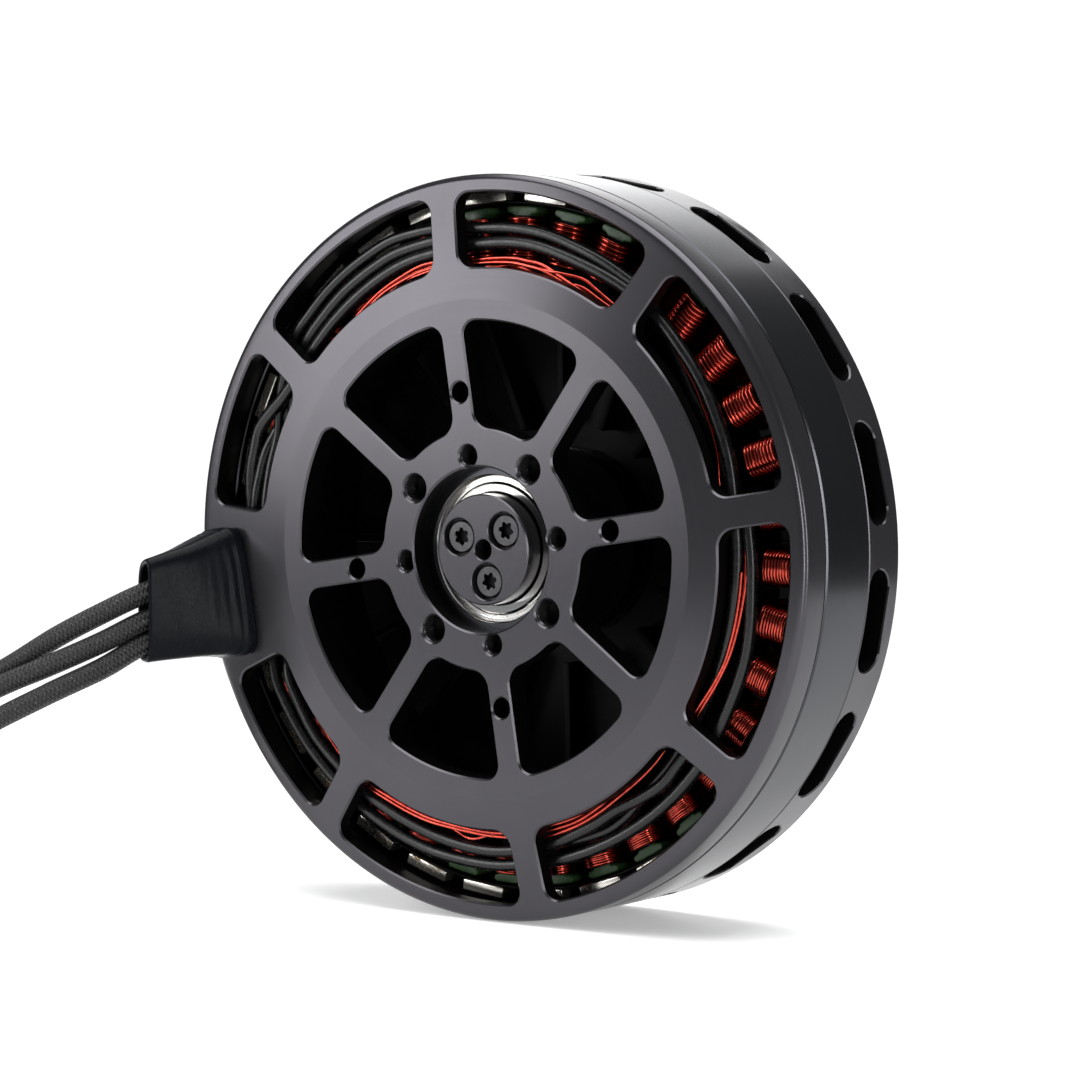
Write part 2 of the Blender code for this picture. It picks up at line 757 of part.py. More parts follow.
def make_shaft(rotor):
    front = CAP_BACK + SEAT
    back = BELL_PLATE - 2 * SEAT
    profile = [
        (SHAFT_BORE, front),
        (SHAFT_RADIUS, front),
        (SHAFT_RADIUS, FLANGE_FRONT),
        (SHAFT_FLANGE, FLANGE_FRONT),
        (SHAFT_FLANGE, back),
        (SHAFT_BORE, back),
    ]
    shaft = add_object("shaft", turned_mesh("shaft", profile, SMALL_STEPS), black_steel(), rotor)
    holes = bmesh.new()
    for k in range(CAP_SCREWS):
        centre = on_circle(CAP_SCREW_CIRCLE, CAP_SCREW_START + math.tau * k / CAP_SCREWS)
        outline = circle(SHANK_HOLE, HOLE_STEPS, centre)
        extruded(holes, [outline], along_axis, front - OVERRUN, CAP_FRONT + SCREW_LENGTH + OVERRUN)
    for k in range(HUB_SCREWS):
        centre = on_circle(HUB_SCREW_CIRCLE, HUB_SCREW_START + math.tau * k / HUB_SCREWS)
        outline = circle(SHANK_HOLE, HOLE_STEPS, centre)
        extruded(holes, [outline], along_axis, FLANGE_FRONT - OVERRUN, BELL_PLATE + OVERRUN)
    apply_tool(shaft, cutter("shaft_hole_cutter", holes))

    spacer_front = FRONT_BEARING + BEARING_WIDTH + 2 * SEAT
    spacer_back = REAR_BEARING - 2 * SEAT
    spacer_profile = [
        (SPACER_RADII[0], spacer_front),
        (SPACER_RADII[1], spacer_front),
        (SPACER_RADII[1], spacer_back),
        (SPACER_RADII[0], spacer_back),
    ]
    spacer = turned_mesh("race_spacer", spacer_profile, SMALL_STEPS)
    add_object("race_spacer", spacer, black_steel(), rotor)


def make_cap(rotor):
    profile = [
        (CAP_HOLE, CAP_FRONT),
        (SHAFT_RADIUS - CAP_CHAMFER, CAP_FRONT),
        (SHAFT_RADIUS, CAP_FRONT + CAP_CHAMFER),
        (SHAFT_RADIUS, CAP_BACK),
        (CAP_HOLE, CAP_BACK),
    ]
    cap = add_object("shaft_cap", turned_mesh("shaft_cap", profile, SMALL_STEPS), anodised(), rotor)
    heads, shanks = bmesh.new(), bmesh.new()
    head_floor = CAP_FRONT + COUNTERBORE_DEPTH
    for k in range(CAP_SCREWS):
        centre = on_circle(CAP_SCREW_CIRCLE, CAP_SCREW_START + math.tau * k / CAP_SCREWS)
        outline = circle(COUNTERBORE, SMALL_STEPS // 2, centre)
        extruded(heads, [outline], along_axis, CAP_FRONT - OVERRUN, head_floor)
        outline = circle(SHANK_HOLE, HOLE_STEPS, centre)
        extruded(shanks, [outline], along_axis, head_floor - COUNTERBORE_DEPTH / 4, CAP_BACK + OVERRUN)
    apply_tool(cap, cutter("cap_counterbore_cutter", heads))
    apply_tool(cap, cutter("cap_shank_cutter", shanks))


def screw_mesh(name, length, recess):
    """A cap screw along +Y with its head's top at y = 0 and a star recess in it."""
    profile = [
        (0.0, 0.0),
        (SCREW_HEAD - SCREW_CHAMFER, 0.0),
        (SCREW_HEAD, SCREW_CHAMFER),
        (SCREW_HEAD, SCREW_HEAD_HEIGHT),
        (SCREW_SHANK, SCREW_HEAD_HEIGHT),
        (SCREW_SHANK, length),
        (0.0, length),
    ]
    made = add_object(name, turned_mesh(name, profile, SCREW_STEPS), dark_screw())
    star = [
        on_circle(recess * (1.0 if i % 2 else RECESS_INNER), math.tau * i / STAR_POINTS)
        for i in range(STAR_POINTS)
    ]
    tool = bmesh.new()
    extruded(tool, [star], along_axis, -OVERRUN, RECESS_DEPTH)
    apply_tool(made, cutter(f"{name}_recess", tool))
    bpy.context.view_layer.update()
    shown = made.evaluated_get(bpy.context.evaluated_depsgraph_get())
    mesh = bpy.data.meshes.new_from_object(shown)
    bpy.data.objects.remove(made, do_unlink=True)
    return mesh


def make_screws(rotor):
    cap_screw = screw_mesh("cap_screw_pattern", SCREW_LENGTH, CAP_SCREW_RECESS)
    for k in range(CAP_SCREWS):
        made = add_object(f"cap_screw_{k + 1}", cap_screw, dark_screw(), rotor)
        angle = CAP_SCREW_START + math.tau * k / CAP_SCREWS
        made.location = polar(CAP_SCREW_CIRCLE, angle, CAP_FRONT + SCREW_SUNK)
        made.rotation_euler = (0.0, -angle, 0.0)
    hub_screw = screw_mesh("hub_screw_pattern", HUB_SCREW_LENGTH, HUB_SCREW_RECESS)
    for k in range(HUB_SCREWS):
        made = add_object(f"hub_screw_{k + 1}", hub_screw, dark_screw(), rotor)
        angle = HUB_SCREW_START + math.tau * k / HUB_SCREWS
        made.location = polar(HUB_SCREW_CIRCLE, angle, BOSS_BACK)
        made.rotation_euler = (0.0, 0.0, math.pi)


def smooth_route(points, spacing):
    """Points about spacing apart on a smooth curve through the route's own points."""
    whole = [points[0] * 2 - points[1], *points, points[-1] * 2 - points[-2]]
    fine = []
    for a, b, c, d in zip(whole, whole[1:], whole[2:], whole[3:]):
        for i in range(CURVE_STEPS):
            t = i / CURVE_STEPS
            fine.append(
                0.5 * (2 * b + (c - a) * t + (2 * a - 5 * b + 4 * c - d) * t**2)
                + 0.5 * (3 * b - a - 3 * c + d) * t**3
            )
    fine.append(points[-1])
    along = [0.0]
    for a, b in zip(fine, fine[1:]):
        along.append(along[-1] + (b - a).length)
    count = max(2, round(along[-1] / spacing))
    found, at = [], 0
    for i in range(count + 1):
        wanted = along[-1] * i / count
        while at < len(along) - 2 and along[at + 1] < wanted:
            at += 1
        share = (wanted - along[at]) / (along[at + 1] - along[at])
        found.append(fine[at].lerp(fine[at + 1], min(1.0, share)))
    return found


def make_tube(name, route, diameter, material):
    curve = bpy.data.curves.new(name, "CURVE")
    curve.dimensions = "3D"
    curve.bevel_depth = diameter / 2
    curve.bevel_resolution = 2
    curve.use_fill_caps = True
    spline = curve.splines.new("POLY")
    spline.points.add(len(route) - 1)
    for target, point in zip(spline.points, route):
        target.co = (*point, 1.0)
    curve.materials.append(material)
    made = bpy.data.objects.new(name, curve)
    bpy.context.scene.collection.objects.link(made)


def on_loop(radius, degrees, height):
    turn = math.radians(degrees)
    return LOOP_CENTRE + Vector((radius * math.cos(turn), radius * math.sin(turn), height))


# Each lead's route: out of the boot and down to the floor, then part of a turn of this radius and height
# round the loop's centre, clockwise to the last angle.
LEAD_ROUTES = {
    "a": (
        [
            (-0.0720, 0.0010, -0.0065),
            (-0.0775, -0.0060, -0.0088),
            (-0.0846, -0.0146, -0.0125),
            (-0.0916, -0.0210, -0.0169),
            (-0.1004, -0.0274, -0.0226),
            (-0.1112, -0.0326, -0.0300),
            (-0.1252, -0.0386, -0.0382),
            (-0.1412, -0.0458, -0.0475),
            (-0.1580, -0.0520, -0.0585),
            (-0.1740, -0.0515, -0.0685),
            (-0.1850, -0.0450, -0.0740),
        ],
        0.0278,
        FLOOR + 0.0078,
        18,
    ),
    "b": (
        [
            (-0.0720, 0.0010, -0.0125),
            (-0.0773, -0.0064, -0.0150),
            (-0.0843, -0.0152, -0.0189),
            (-0.0910, -0.0226, -0.0237),
            (-0.0995, -0.0304, -0.0287),
            (-0.1100, -0.0376, -0.0341),
            (-0.1240, -0.0436, -0.0422),
            (-0.1395, -0.0482, -0.0530),
            (-0.1560, -0.0512, -0.0660),
            (-0.1710, -0.0485, -0.0765),
            (-0.1815, -0.0430, -0.0803),
        ],
        0.0250,
        FLOOR + 0.0026,
        -28,
    ),
    "c": (
        [
            (-0.0716, 0.0010, -0.0185),
            (-0.0770, -0.0068, -0.0208),
            (-0.0841, -0.0156, -0.0242),
            (-0.0902, -0.0235, -0.0296),
            (-0.0982, -0.0320, -0.0349),
            (-0.1085, -0.0402, -0.0414),
            (-0.1225, -0.0475, -0.0500),
            (-0.1390, -0.0538, -0.0605),
            (-0.1575, -0.0590, -0.0715),
            (-0.1745, -0.0575, -0.0785),
            (-0.1868, -0.0490, -0.0804),
        ],
        0.0305,
        FLOOR + 0.0026,
        2,
    ),
}


def lead_points(label):
    descent, radius, height, last = LEAD_ROUTES[label]
    points = [Vector(point) for point in descent]
    for i in range(LOOP_STEPS + 1):
        points.append(on_loop(radius, LOOP_START + (last - LOOP_START) * i / LOOP_STEPS, height))
    return points


def make_leads():
    sleeve_radius, sleeve_end = CONNECTOR_SLEEVE
    pin_radius, pin_end = CONNECTOR_PIN
    tip_radius, tip_end = CONNECTOR_TIP
    profile = [
        (0.0, 0.0),
        (sleeve_radius, 0.0),
        (sleeve_radius, sleeve_end),
        (pin_radius, sleeve_end + CONNECTOR_STEP),
        (pin_radius, pin_end),
        (tip_radius, tip_end),
        (0.0, tip_end),
    ]
    for label in LEAD_ROUTES:
        route = smooth_route(lead_points(label), LEAD_SPACING)
        make_tube(f"lead_{label}", route, LEAD_DIAMETER, braid())
        way = (route[-1] - route[-2]).normalized()
        way.z = 0.0
        name = f"connector_{label}"
        made = add_object(name, turned_mesh(name, profile, CONNECTOR_SIDES), gold())
        made.location = route[-1] + way * GAP
        made.rotation_euler = Vector((0.0, 1.0, 0.0)).rotation_difference(way).to_euler()


# Each phase wire's route: in from the lead's slot, then a run at this radius and depth between two angles.
PHASE_ROUTES = {
    "a": (
        [(-0.0714, 0.0022, -0.0065), (-0.0714, 0.0060, -0.0058), (-0.0700, 0.0078, -0.0025)],
        (0.0690, 0.0080, 178, -56),
    ),
    "b": (
        [(-0.0712, 0.0022, -0.0125), (-0.0710, 0.0060, -0.0120), (-0.0682, 0.0086, -0.0098)],
        (0.0655, 0.0084, 184, 8),
    ),
    "c": (
        [(-0.0706, 0.0022, -0.0185), (-0.0700, 0.0060, -0.0187), (-0.0672, 0.0080, -0.0190)],
        (0.0651, 0.0084, 199, 352),
    ),
}


def make_phase_wires():
    """The insulated phase wires that run round the inside of the base, from the lead exit to the coils."""
    for label, (entry, (radius, depth, first, last)) in PHASE_ROUTES.items():
        route = [Vector(point) for point in entry]
        steps = round(abs(last - first) / PHASE_STEP)
        for i in range(steps + 1):
            angle = math.radians(first + (last - first) * i / steps)
            route.append(polar(radius, angle, depth))
        make_tube(f"phase_wire_{label}", route, PHASE_DIAMETER, rubber())


def rounded_frame(centre, across, up, width, height, corner):
    """Points round a rectangle with rounded corners, in the plane of across and up."""
    points = []
    for side_u, side_v, start in ((1, 1, 0), (-1, 1, 90), (-1, -1, 180), (1, -1, 270)):
        for i in range(3):
            turn = math.radians(start + 45 * i)
            u = side_u * (width / 2 - corner) + corner * math.cos(turn)
            v = side_v * (height / 2 - corner) + corner * math.sin(turn)
            points.append(centre + across * u + up * v)
    return points


def make_boot():
    """A flattened sleeve that stands on the face over the lead exit and opens away from the motor."""
    root_centre = polar(BOOT_ROOT_RADIUS, BOOT_ROOT_ANGLE)
    root_across = polar(1.0, BOOT_ROOT_ANGLE)
    root_up = polar(1.0, BOOT_ROOT_ANGLE - math.pi / 2)
    mouth_across = Vector((BOOT_DIRECTION.y, -BOOT_DIRECTION.x, 0.0))
    mouth_up = Vector((0.0, 0.0, 1.0))

    def ring(share, inset):
        centre = root_centre.lerp(BOOT_MOUTH, share)
        across = root_across.lerp(mouth_across, share).normalized()
        up = root_up.lerp(mouth_up, share).normalized()
        width = BOOT_ROOT_SIZE[0] * (1 - share) + BOOT_MOUTH_SIZE[0] * share - 2 * inset
        height = BOOT_ROOT_SIZE[1] * (1 - share) + BOOT_MOUTH_SIZE[1] * share - 2 * inset
        points = rounded_frame(centre, across, up, width, height, BOOT_CORNER - inset)
        if share == 0:
            for point in points:
                point.y = cone_y(math.hypot(point.x, point.z)) - BOOT_LIFT
        return points

    bm = bmesh.new()
    rings = [ring(i / BOOT_STEPS, 0.0) for i in range(BOOT_STEPS + 1)]
    rings += [ring(i / BOOT_STEPS, BOOT_WALL) for i in range(BOOT_STEPS, -1, -1)]
    loops = [[bm.verts.new(point) for point in points] for points in rings]
    for first, second in zip(loops, loops[1:] + loops[:1]):
        for i, point in enumerate(first):
            following = (i + 1) % len(first)
            bm.faces.new((point, first[following], second[following], second[i]))
    add_object("cable_boot", mesh_from("cable_boot", bm), rubber())


def make_axis(name):
    made = bpy.data.objects.new(name, None)
    bpy.context.scene.collection.objects.link(made)
    return made


def main():
    clear_scene()
    rotor = make_axis("rotor_axis")
    make_base()
    make_bearing_tube()
    make_drum()
    make_circlip()
    make_bearing("front_bearing", FRONT_BEARING, rotor, make_axis("front_cage_axis"))
    make_bearing("rear_bearing", REAR_BEARING, rotor, make_axis("rear_cage_axis"))
    make_stator()
    make_coils()
    make_phase_wires()
    make_flux_ring(rotor)
    make_magnets(rotor)
    make_bell_ring(rotor)
    make_bell(rotor)
    make_shaft(rotor)
    make_cap(rotor)
    make_screws(rotor)
    make_boot()
    make_leads()


main()
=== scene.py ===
"""Flat brushless outrunner motor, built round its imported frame.

Metres. The motor's axis is +Y, its mounting face looks towards -Y, and it stands on its rim.
"""

import math
import random

import bmesh
import bpy
from mathutils import Matrix, Vector
from mathutils.geometry import delaunay_2d_cdt


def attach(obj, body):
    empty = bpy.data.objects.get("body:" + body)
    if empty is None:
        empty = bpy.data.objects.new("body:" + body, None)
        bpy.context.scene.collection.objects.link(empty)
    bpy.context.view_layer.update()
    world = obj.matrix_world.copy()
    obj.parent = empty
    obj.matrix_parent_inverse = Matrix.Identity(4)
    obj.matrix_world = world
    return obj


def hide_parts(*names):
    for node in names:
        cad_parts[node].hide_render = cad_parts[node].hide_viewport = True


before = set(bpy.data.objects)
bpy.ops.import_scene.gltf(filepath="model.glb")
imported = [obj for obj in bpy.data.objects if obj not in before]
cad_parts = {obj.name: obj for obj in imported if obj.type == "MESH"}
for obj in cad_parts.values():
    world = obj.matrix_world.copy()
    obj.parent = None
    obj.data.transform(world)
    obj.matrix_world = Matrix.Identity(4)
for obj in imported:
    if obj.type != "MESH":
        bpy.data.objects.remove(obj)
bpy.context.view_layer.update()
RANDOM = random.Random(7)
MM = 0.001
UP = Vector((0.0, 0.0, 1.0))

# Steps round turned surfaces, and sides of round wires
TURN_STEPS = 288
SMALL_STEPS = 96
HOLE_STEPS = 32
SCREW_STEPS = 48
CLIP_STEPS = 120
CONNECTOR_STEPS = 32
LEAD_SIDES = 20
SLEEVE_SIDES = 16
STRAND_SIDES = 8
WINDING_SIDES = 6

# Base
RIM_RADIUS = 0.0830
RIM_BACK = 0.0113
RIM_WALL = 0.0026
RIM_FILLET = 0.0019
FLAT_RADIUS = 0.0555
CONE_ANGLE = math.radians(7.0)
PLATE_THICKNESS = 0.0038
SPOKE_THICKNESS = 0.0060
HUB_BORE = 0.0185
DRUM_INNER = 0.0560
DRUM_OUTER = 0.0593
RIB_START = math.radians(9.26)
RIB_STEP = math.radians(45.0)
RIB_COUNT = 8
SPOKE_WIDTH = 0.0060
RIB_WIDTH = 0.0070
INNER_WINDOW = (0.0270, 0.0508)
OUTER_WINDOW = (0.0624, 0.0791)
WINDOW_CORNER = 0.0036
WINDOW_CHAMFER = 0.0004
HUB_HOLES = (0.0210, 0.0024)
THREAD_HOLES = (0.0224, 0.0031)
SPOKE_HOLES = (0.0352, 0.0023)
HOLE_FLOOR = 0.0050
THREAD_PITCH = 0.0008
THREAD_DEPTH = 0.00040
EXIT_RIB = 4
EXIT_HALF = math.radians(14.7)
EXIT_SLOT = (0.0692, 0.0774)
EXIT_SLOT_HALF = math.radians(9.5)

# Stator
TOOTH_COUNT = 36
TOOTH_START = math.radians(8.6)
TOOTH_WIDTH = 0.0044
TOOTH_TIP = 0.0759
TOOTH_SHOE = 0.0741
SHOE_HALF = math.radians(3.2)
YOKE_INNER = 0.0596
YOKE_OUTER = 0.0620
STACK = (0.0134, 0.0272)
COIL_RADII = (0.0657, 0.0738)
COIL_HALF = 0.0046
COIL_FRONT = 0.0109
COIL_BACK = 0.0294
WIRE_RADIUS = 0.00050
TURNS = 9
COIL_STEPS = 18
COIL_SHIFT = 0.0030

# Rotor
FLUX_RING = (0.0119, 0.0288)
FLUX_INNER = 0.0801
MAGNET_COUNT = 30
MAGNET_START = math.radians(-72.3)
MAGNET_WIDTH = 0.0113
MAGNET_RADII = (0.0768, 0.0794)
MAGNET_SPAN = (0.0125, 0.0286)
BELL = (0.0290, 0.0411)
BELL_WALL = 0.0036
BELL_PLATE = 0.0374
BELL_BORE = 0.0060
BOSS_RADIUS = 0.0240
BOSS_BACK = 0.0428
SLOT_COUNT = 16
SLOT_START = math.radians(12.7)
SLOT_LENGTH = 0.0230
SLOT_WIDTH = 0.0079
SLOT_CENTRE = 0.0335
VANE_WIDTH = 0.0018
VANE_FRONT = 0.0318
VANE_RADII = (0.0275, 0.0785)
PROP_HOLES = (0.0175, 0.0021)
PROP_HOLE_FLOOR = 0.0385
POCKET_DEPTH = 0.0026
COUNTERBORE = 0.0042
HUB_SCREWS = 4
HUB_SCREW_CIRCLE = 0.0165
HUB_SCREW_START = math.radians(45.0)

# Shaft cap and bearing
CAP_RADIUS = 0.01235
CAP_SPAN = (0.0011, 0.0058)
CAP_HOLE = 0.0023
CAP_EDGE = 0.0003
CAP_SCREWS = 3
CAP_SCREW_START = math.radians(38.5)
CAP_SCREW_CIRCLE = 0.0071
CAP_POCKET = 0.0030
SCREW_HEAD = 0.0036
SCREW_SUNK = 0.0010
CAP_RECESS = 0.0020
HUB_RECESS = 0.0019
BEARING_FRONT = 0.0063
BEARING_WIDTH = 0.0070

# Leads and boot
LEAD_DIAMETER = 0.0050
FLOOR = -RIM_RADIUS
LOOP_CENTRE = Vector((-0.162, -0.031, 0.0))
LOOP_START = 195
LOOP_STEPS = 7
BOOT_MOUTH = Vector((-0.0843, -0.0152, -0.01635))
BOOT_MOUTH_SIZE = (0.0095, 0.0243)
BOOT_DIRECTION = Vector((-0.545, -0.839, 0.0)).normalized()
BOOT_ROOT_RADIUS = 0.0742
BOOT_ROOT_ANGLE = math.radians(189.95)
BOOT_ROOT_SIZE = (0.0130, 0.0300)

# Camera: the photograph's viewing angle and framing
CAMERA_AZIMUTH = math.radians(35.794)
CAMERA_ELEVATION = math.radians(4.009)
CAMERA_PLACE = Vector((0.57803, -0.77887, 0.07021))
CAMERA_LENS = 146.77

# Room and floor
ROOM_LIGHT = 0.20
BACKDROP_LIGHT = 1.1
FLOOR_DISC = 0.54
FLOOR_GLOW = 0.32


# ---- materials


class Nodes:
    """A short way to write a node material: each call adds a node and returns its output."""

    def __init__(self, name):
        self.material = bpy.data.materials.new(name)
        self.material.use_nodes = True
        self.tree = self.material.node_tree
        self.shader = self.tree.nodes["Principled BSDF"]

    def node(self, kind, settings=(), **inputs):
        made = self.tree.nodes.new(kind)
        for key, value in dict(settings).items():
            setattr(made, key, value)
        for key, value in inputs.items():
            self.feed(made.inputs[key.replace("_", " ")], value)
        return made

    def feed(self, socket, value):
        if isinstance(value, bpy.types.NodeSocket):
            self.tree.links.new(value, socket)
        else:
            socket.default_value = value

    def math(self, operation, first, second=0.0):
        made = self.node("ShaderNodeMath", {"operation": operation})
        for socket, value in zip(made.inputs, (first, second)):
            self.feed(socket, value)
        return made.outputs[0]

    def times(self, first, second):
        return self.math("MULTIPLY", first, second)

    def place(self):
        """Where the surface is, in the object's own metres."""
        return self.node("ShaderNodeTexCoord").outputs["Object"]

    def noise(self, vector, scale, detail=3.0, roughness=0.55):
        inputs = {"Vector": vector, "Scale": scale, "Detail": detail, "Roughness": roughness}
        return self.node("ShaderNodeTexNoise", **inputs).outputs["Fac"]

    def ramp(self, factor, low, high, span=(0.3, 0.7)):
        """A grey or an (r, g, b) that goes from low to high as the factor crosses the span."""
        made = self.node("ShaderNodeValToRGB", Fac=factor)
        for element, position, value in zip(made.color_ramp.elements, span, (low, high)):
            tone = value if isinstance(value, tuple) else (value,) * 3
            element.position, element.color = position, (*tone, 1.0)
        return made.outputs["Color"]

    def mix(self, factor, first, second):
        made = self.node("ShaderNodeMix", {"data_type": "RGBA"})
        for key, value in ((0, factor), (6, first), (7, second)):
            if isinstance(value, tuple):
                value = (*value, 1.0)
            self.feed(made.inputs[key], value)
        return made.outputs[2]

    def bump(self, height, distance, strength=1.0, before=None):
        made = self.node("ShaderNodeBump", Height=height, Distance=distance, Strength=strength)
        if before is not None:
            self.feed(made.inputs["Normal"], before)
        return made.outputs["Normal"]

    def finish(self, colour, roughness, normal=None, **constants):
        shader = self.shader.inputs
        for key, value in (("Base Color", colour), ("Roughness", roughness), ("Normal", normal)):
            if value is not None:
                self.feed(shader[key], value)
        for key, value in constants.items():
            shader[key.replace("_", " ")].default_value = value
        return self.material

    def polar(self):
        """The distance from the motor's axis, the angle round it and the depth, in metres and turns."""
        x, y, z = self.node("ShaderNodeSeparateXYZ", Vector=self.place()).outputs
        radius = self.math("SQRT", self.math("ADD", self.times(x, x), self.times(z, z)))
        turn = self.math("DIVIDE", self.math("ARCTAN2", z, x), math.tau)
        return radius, turn, y

    def rings(self, scale, detail, stretch):
        """Noise drawn out into fine rings round the motor's axis."""
        radius, turn, depth = self.polar()
        across = self.math("ADD", radius, depth)
        return self.noise(self.vector(across, self.times(turn, stretch)), scale, detail)

    def vector(self, x, y, z=0.0):
        return self.node("ShaderNodeCombineXYZ", X=x, Y=y, Z=z).outputs[0]


def anodised(name="anodised_grey", tone=0.055, rough=0.23):
    """Satin dark grey anodising over turned metal: very fine rings and a slightly cloudy tone."""
    n = Nodes(name)
    rings = n.rings(4200.0, 2.0, 0.0015)
    dark, light = [(tone * f, tone * f * 0.955, tone * f * 1.06) for f in (0.94, 1.06)]
    colour = n.ramp(n.noise(n.place(), 38.0, 4.0), dark, light)
    fine = n.ramp(rings, rough * 0.94, rough * 1.06, (0.35, 0.65))
    return n.finish(colour, fine, n.bump(rings, 0.0000012, 0.4), Metallic=0.85)


def dark_steel():
    """Dark ground steel with a gloss, brushed round the motor."""
    n = Nodes("dark_ground_steel")
    radius, turn, depth = n.polar()
    brush = n.noise(n.vector(n.times(turn, 0.010), depth, radius), 9000.0)
    colour = n.ramp(n.noise(n.place(), 30.0), (0.040, 0.041, 0.045), (0.050, 0.051, 0.056))
    rough = n.ramp(brush, 0.17, 0.25)
    return n.finish(colour, rough, n.bump(brush, 0.000004, 0.35), Metallic=1.0)


def bearing_steel(name="bearing_steel", rough=0.09):
    """Bright turned steel with faint stains."""
    n = Nodes(name)
    rings = n.rings(5200.0, 1.0, 0.001)
    stain = n.noise(n.place(), 90.0, 2.0)
    colour = n.ramp(stain, (0.62, 0.60, 0.57), (0.76, 0.75, 0.73), (0.35, 0.6))
    fine = n.ramp(rings, rough * 0.9, rough * 1.2)
    return n.finish(colour, fine, n.bump(rings, 0.000001, 0.3), Metallic=1.0)


def mottled(name, tone, gloss, bump, **constants):
    """A surface with a cloudy colour and a cloudy gloss.

    tone and gloss are (noise scale, noise detail, low, high). bump is (distance, strength) and follows the
    tone's noise, or the gloss's if a third value is true.
    """
    n = Nodes(name)
    place = n.place()
    clouds = [n.noise(place, scale, detail) for scale, detail, _, _ in (tone, gloss)]
    colour, rough = [n.ramp(cloud, *ends[2:]) for cloud, ends in zip(clouds, (tone, gloss))]
    distance, strength, *follows_gloss = bump
    return n.finish(colour, rough, n.bump(clouds[bool(follows_gloss)], distance, strength), **constants)


def screw_steel():
    tone = (700.0, 4.0, (0.046, 0.045, 0.048), (0.066, 0.064, 0.068))
    return mottled("screw_black_oxide", tone, (4200.0, 3.0, 0.24, 0.34), (0.000004, 0.4, True), Metallic=0.9)


def epoxy_green():
    """Thick green epoxy over stacked sheets."""
    tone = (260.0, 4.0, (0.016, 0.044, 0.014), (0.036, 0.082, 0.028))
    return mottled("green_epoxy", tone, (900.0, 2.0, 0.30, 0.46), (0.00020, 0.5), Specular_IOR_Level=0.3)


def enamel():
    """Red enamelled copper wire."""
    tone = (900.0, 3.0, (0.30, 0.016, 0.008), (0.58, 0.056, 0.026))
    coat = {"Metallic": 1.0, "Coat_Weight": 0.6, "Coat_Roughness": 0.10}
    return mottled("red_enamel", tone, (3000.0, 3.0, 0.17, 0.25), (0.00003, 0.25), **coat)


def gold():
    tone = (500.0, 3.0, (0.72, 0.46, 0.13), (0.86, 0.60, 0.22))
    return mottled("gold_plate", tone, (3500.0, 3.0, 0.16, 0.28), (0.00002, 0.3), Metallic=1.0)


def nickel():
    """Nickel-plated magnets: satin, lightly drawn, with specks of old glue on some of them."""
    n = Nodes("magnet_nickel")
    place = n.place()
    _, turn, depth = n.polar()
    drawn = n.noise(n.vector(n.times(turn, 6.0), n.times(depth, 5.0)), 160.0, 2.0)
    spots = n.noise(place, 620.0, 5.0, 0.7)
    some = n.ramp(n.noise(place, 34.0, 1.0), 0.0, 1.0, (0.50, 0.56))
    glue = n.times(some, n.ramp(spots, 0.0, 1.0, (0.52, 0.58)))
    metal = n.ramp(drawn, (0.56, 0.535, 0.48), (0.64, 0.615, 0.56))
    brown = n.ramp(n.noise(place, 2400.0, 2.0), (0.02, 0.016, 0.010), (0.34, 0.24, 0.10), (0.42, 0.62))
    rough = n.math("ADD", n.times(glue, 0.30), 0.22)
    normal = n.bump(drawn, 0.000004, 0.3, n.bump(spots, 0.00002, 0.3))
    return n.finish(n.mix(glue, metal, brown), rough, normal, Metallic=0.96)


def boot_rubber():
    """Shrunk black rubber: smooth, with stretched wrinkles and dust."""
    n = Nodes("boot_rubber")
    place = n.place()
    stretched = n.node("ShaderNodeMapping", Vector=place, Scale=(1.0, 1.0, 0.22)).outputs[0]
    folds = n.noise(stretched, 330.0, 5.0, 0.6)
    skin = n.noise(place, 1500.0)
    dust = n.ramp(n.noise(place, 5200.0, 2.0), 0.0, 1.0, (0.68, 0.74))
    clean = n.ramp(folds, (0.0020, 0.0025, 0.0036), (0.0040, 0.0048, 0.0066))
    rough = n.ramp(skin, 0.24, 0.32)
    normal = n.bump(skin, 0.00002, 0.4, n.bump(folds, 0.00022, 0.3))
    sheen = {"Specular_IOR_Level": 0.06, "Sheen_Weight": 0.22, "Sheen_Roughness": 0.2}
    return n.finish(n.mix(dust, clean, (0.05, 0.05, 0.05)), rough, normal, **sheen)


def sleeve_rubber():
    """Black silicone sleeve of the phase wires: soft sheen, dusty, with fine scuffs."""
    n = Nodes("sleeve_silicone")
    place = n.place()
    scuff = n.noise(place, 700.0, 4.0, 0.6)
    dust = n.ramp(n.noise(place, 4200.0, 3.0, 0.7), 0.0, 1.0, (0.64, 0.74))
    clean = n.ramp(scuff, (0.0012, 0.0012, 0.0015), (0.0036, 0.0036, 0.0044), (0.35, 0.7))
    rough = n.ramp(scuff, 0.22, 0.36)
    colour = n.mix(dust, clean, (0.04, 0.04, 0.043))
    return n.finish(colour, rough, n.bump(scuff, 0.00003, 0.4), Specular_IOR_Level=0.36)


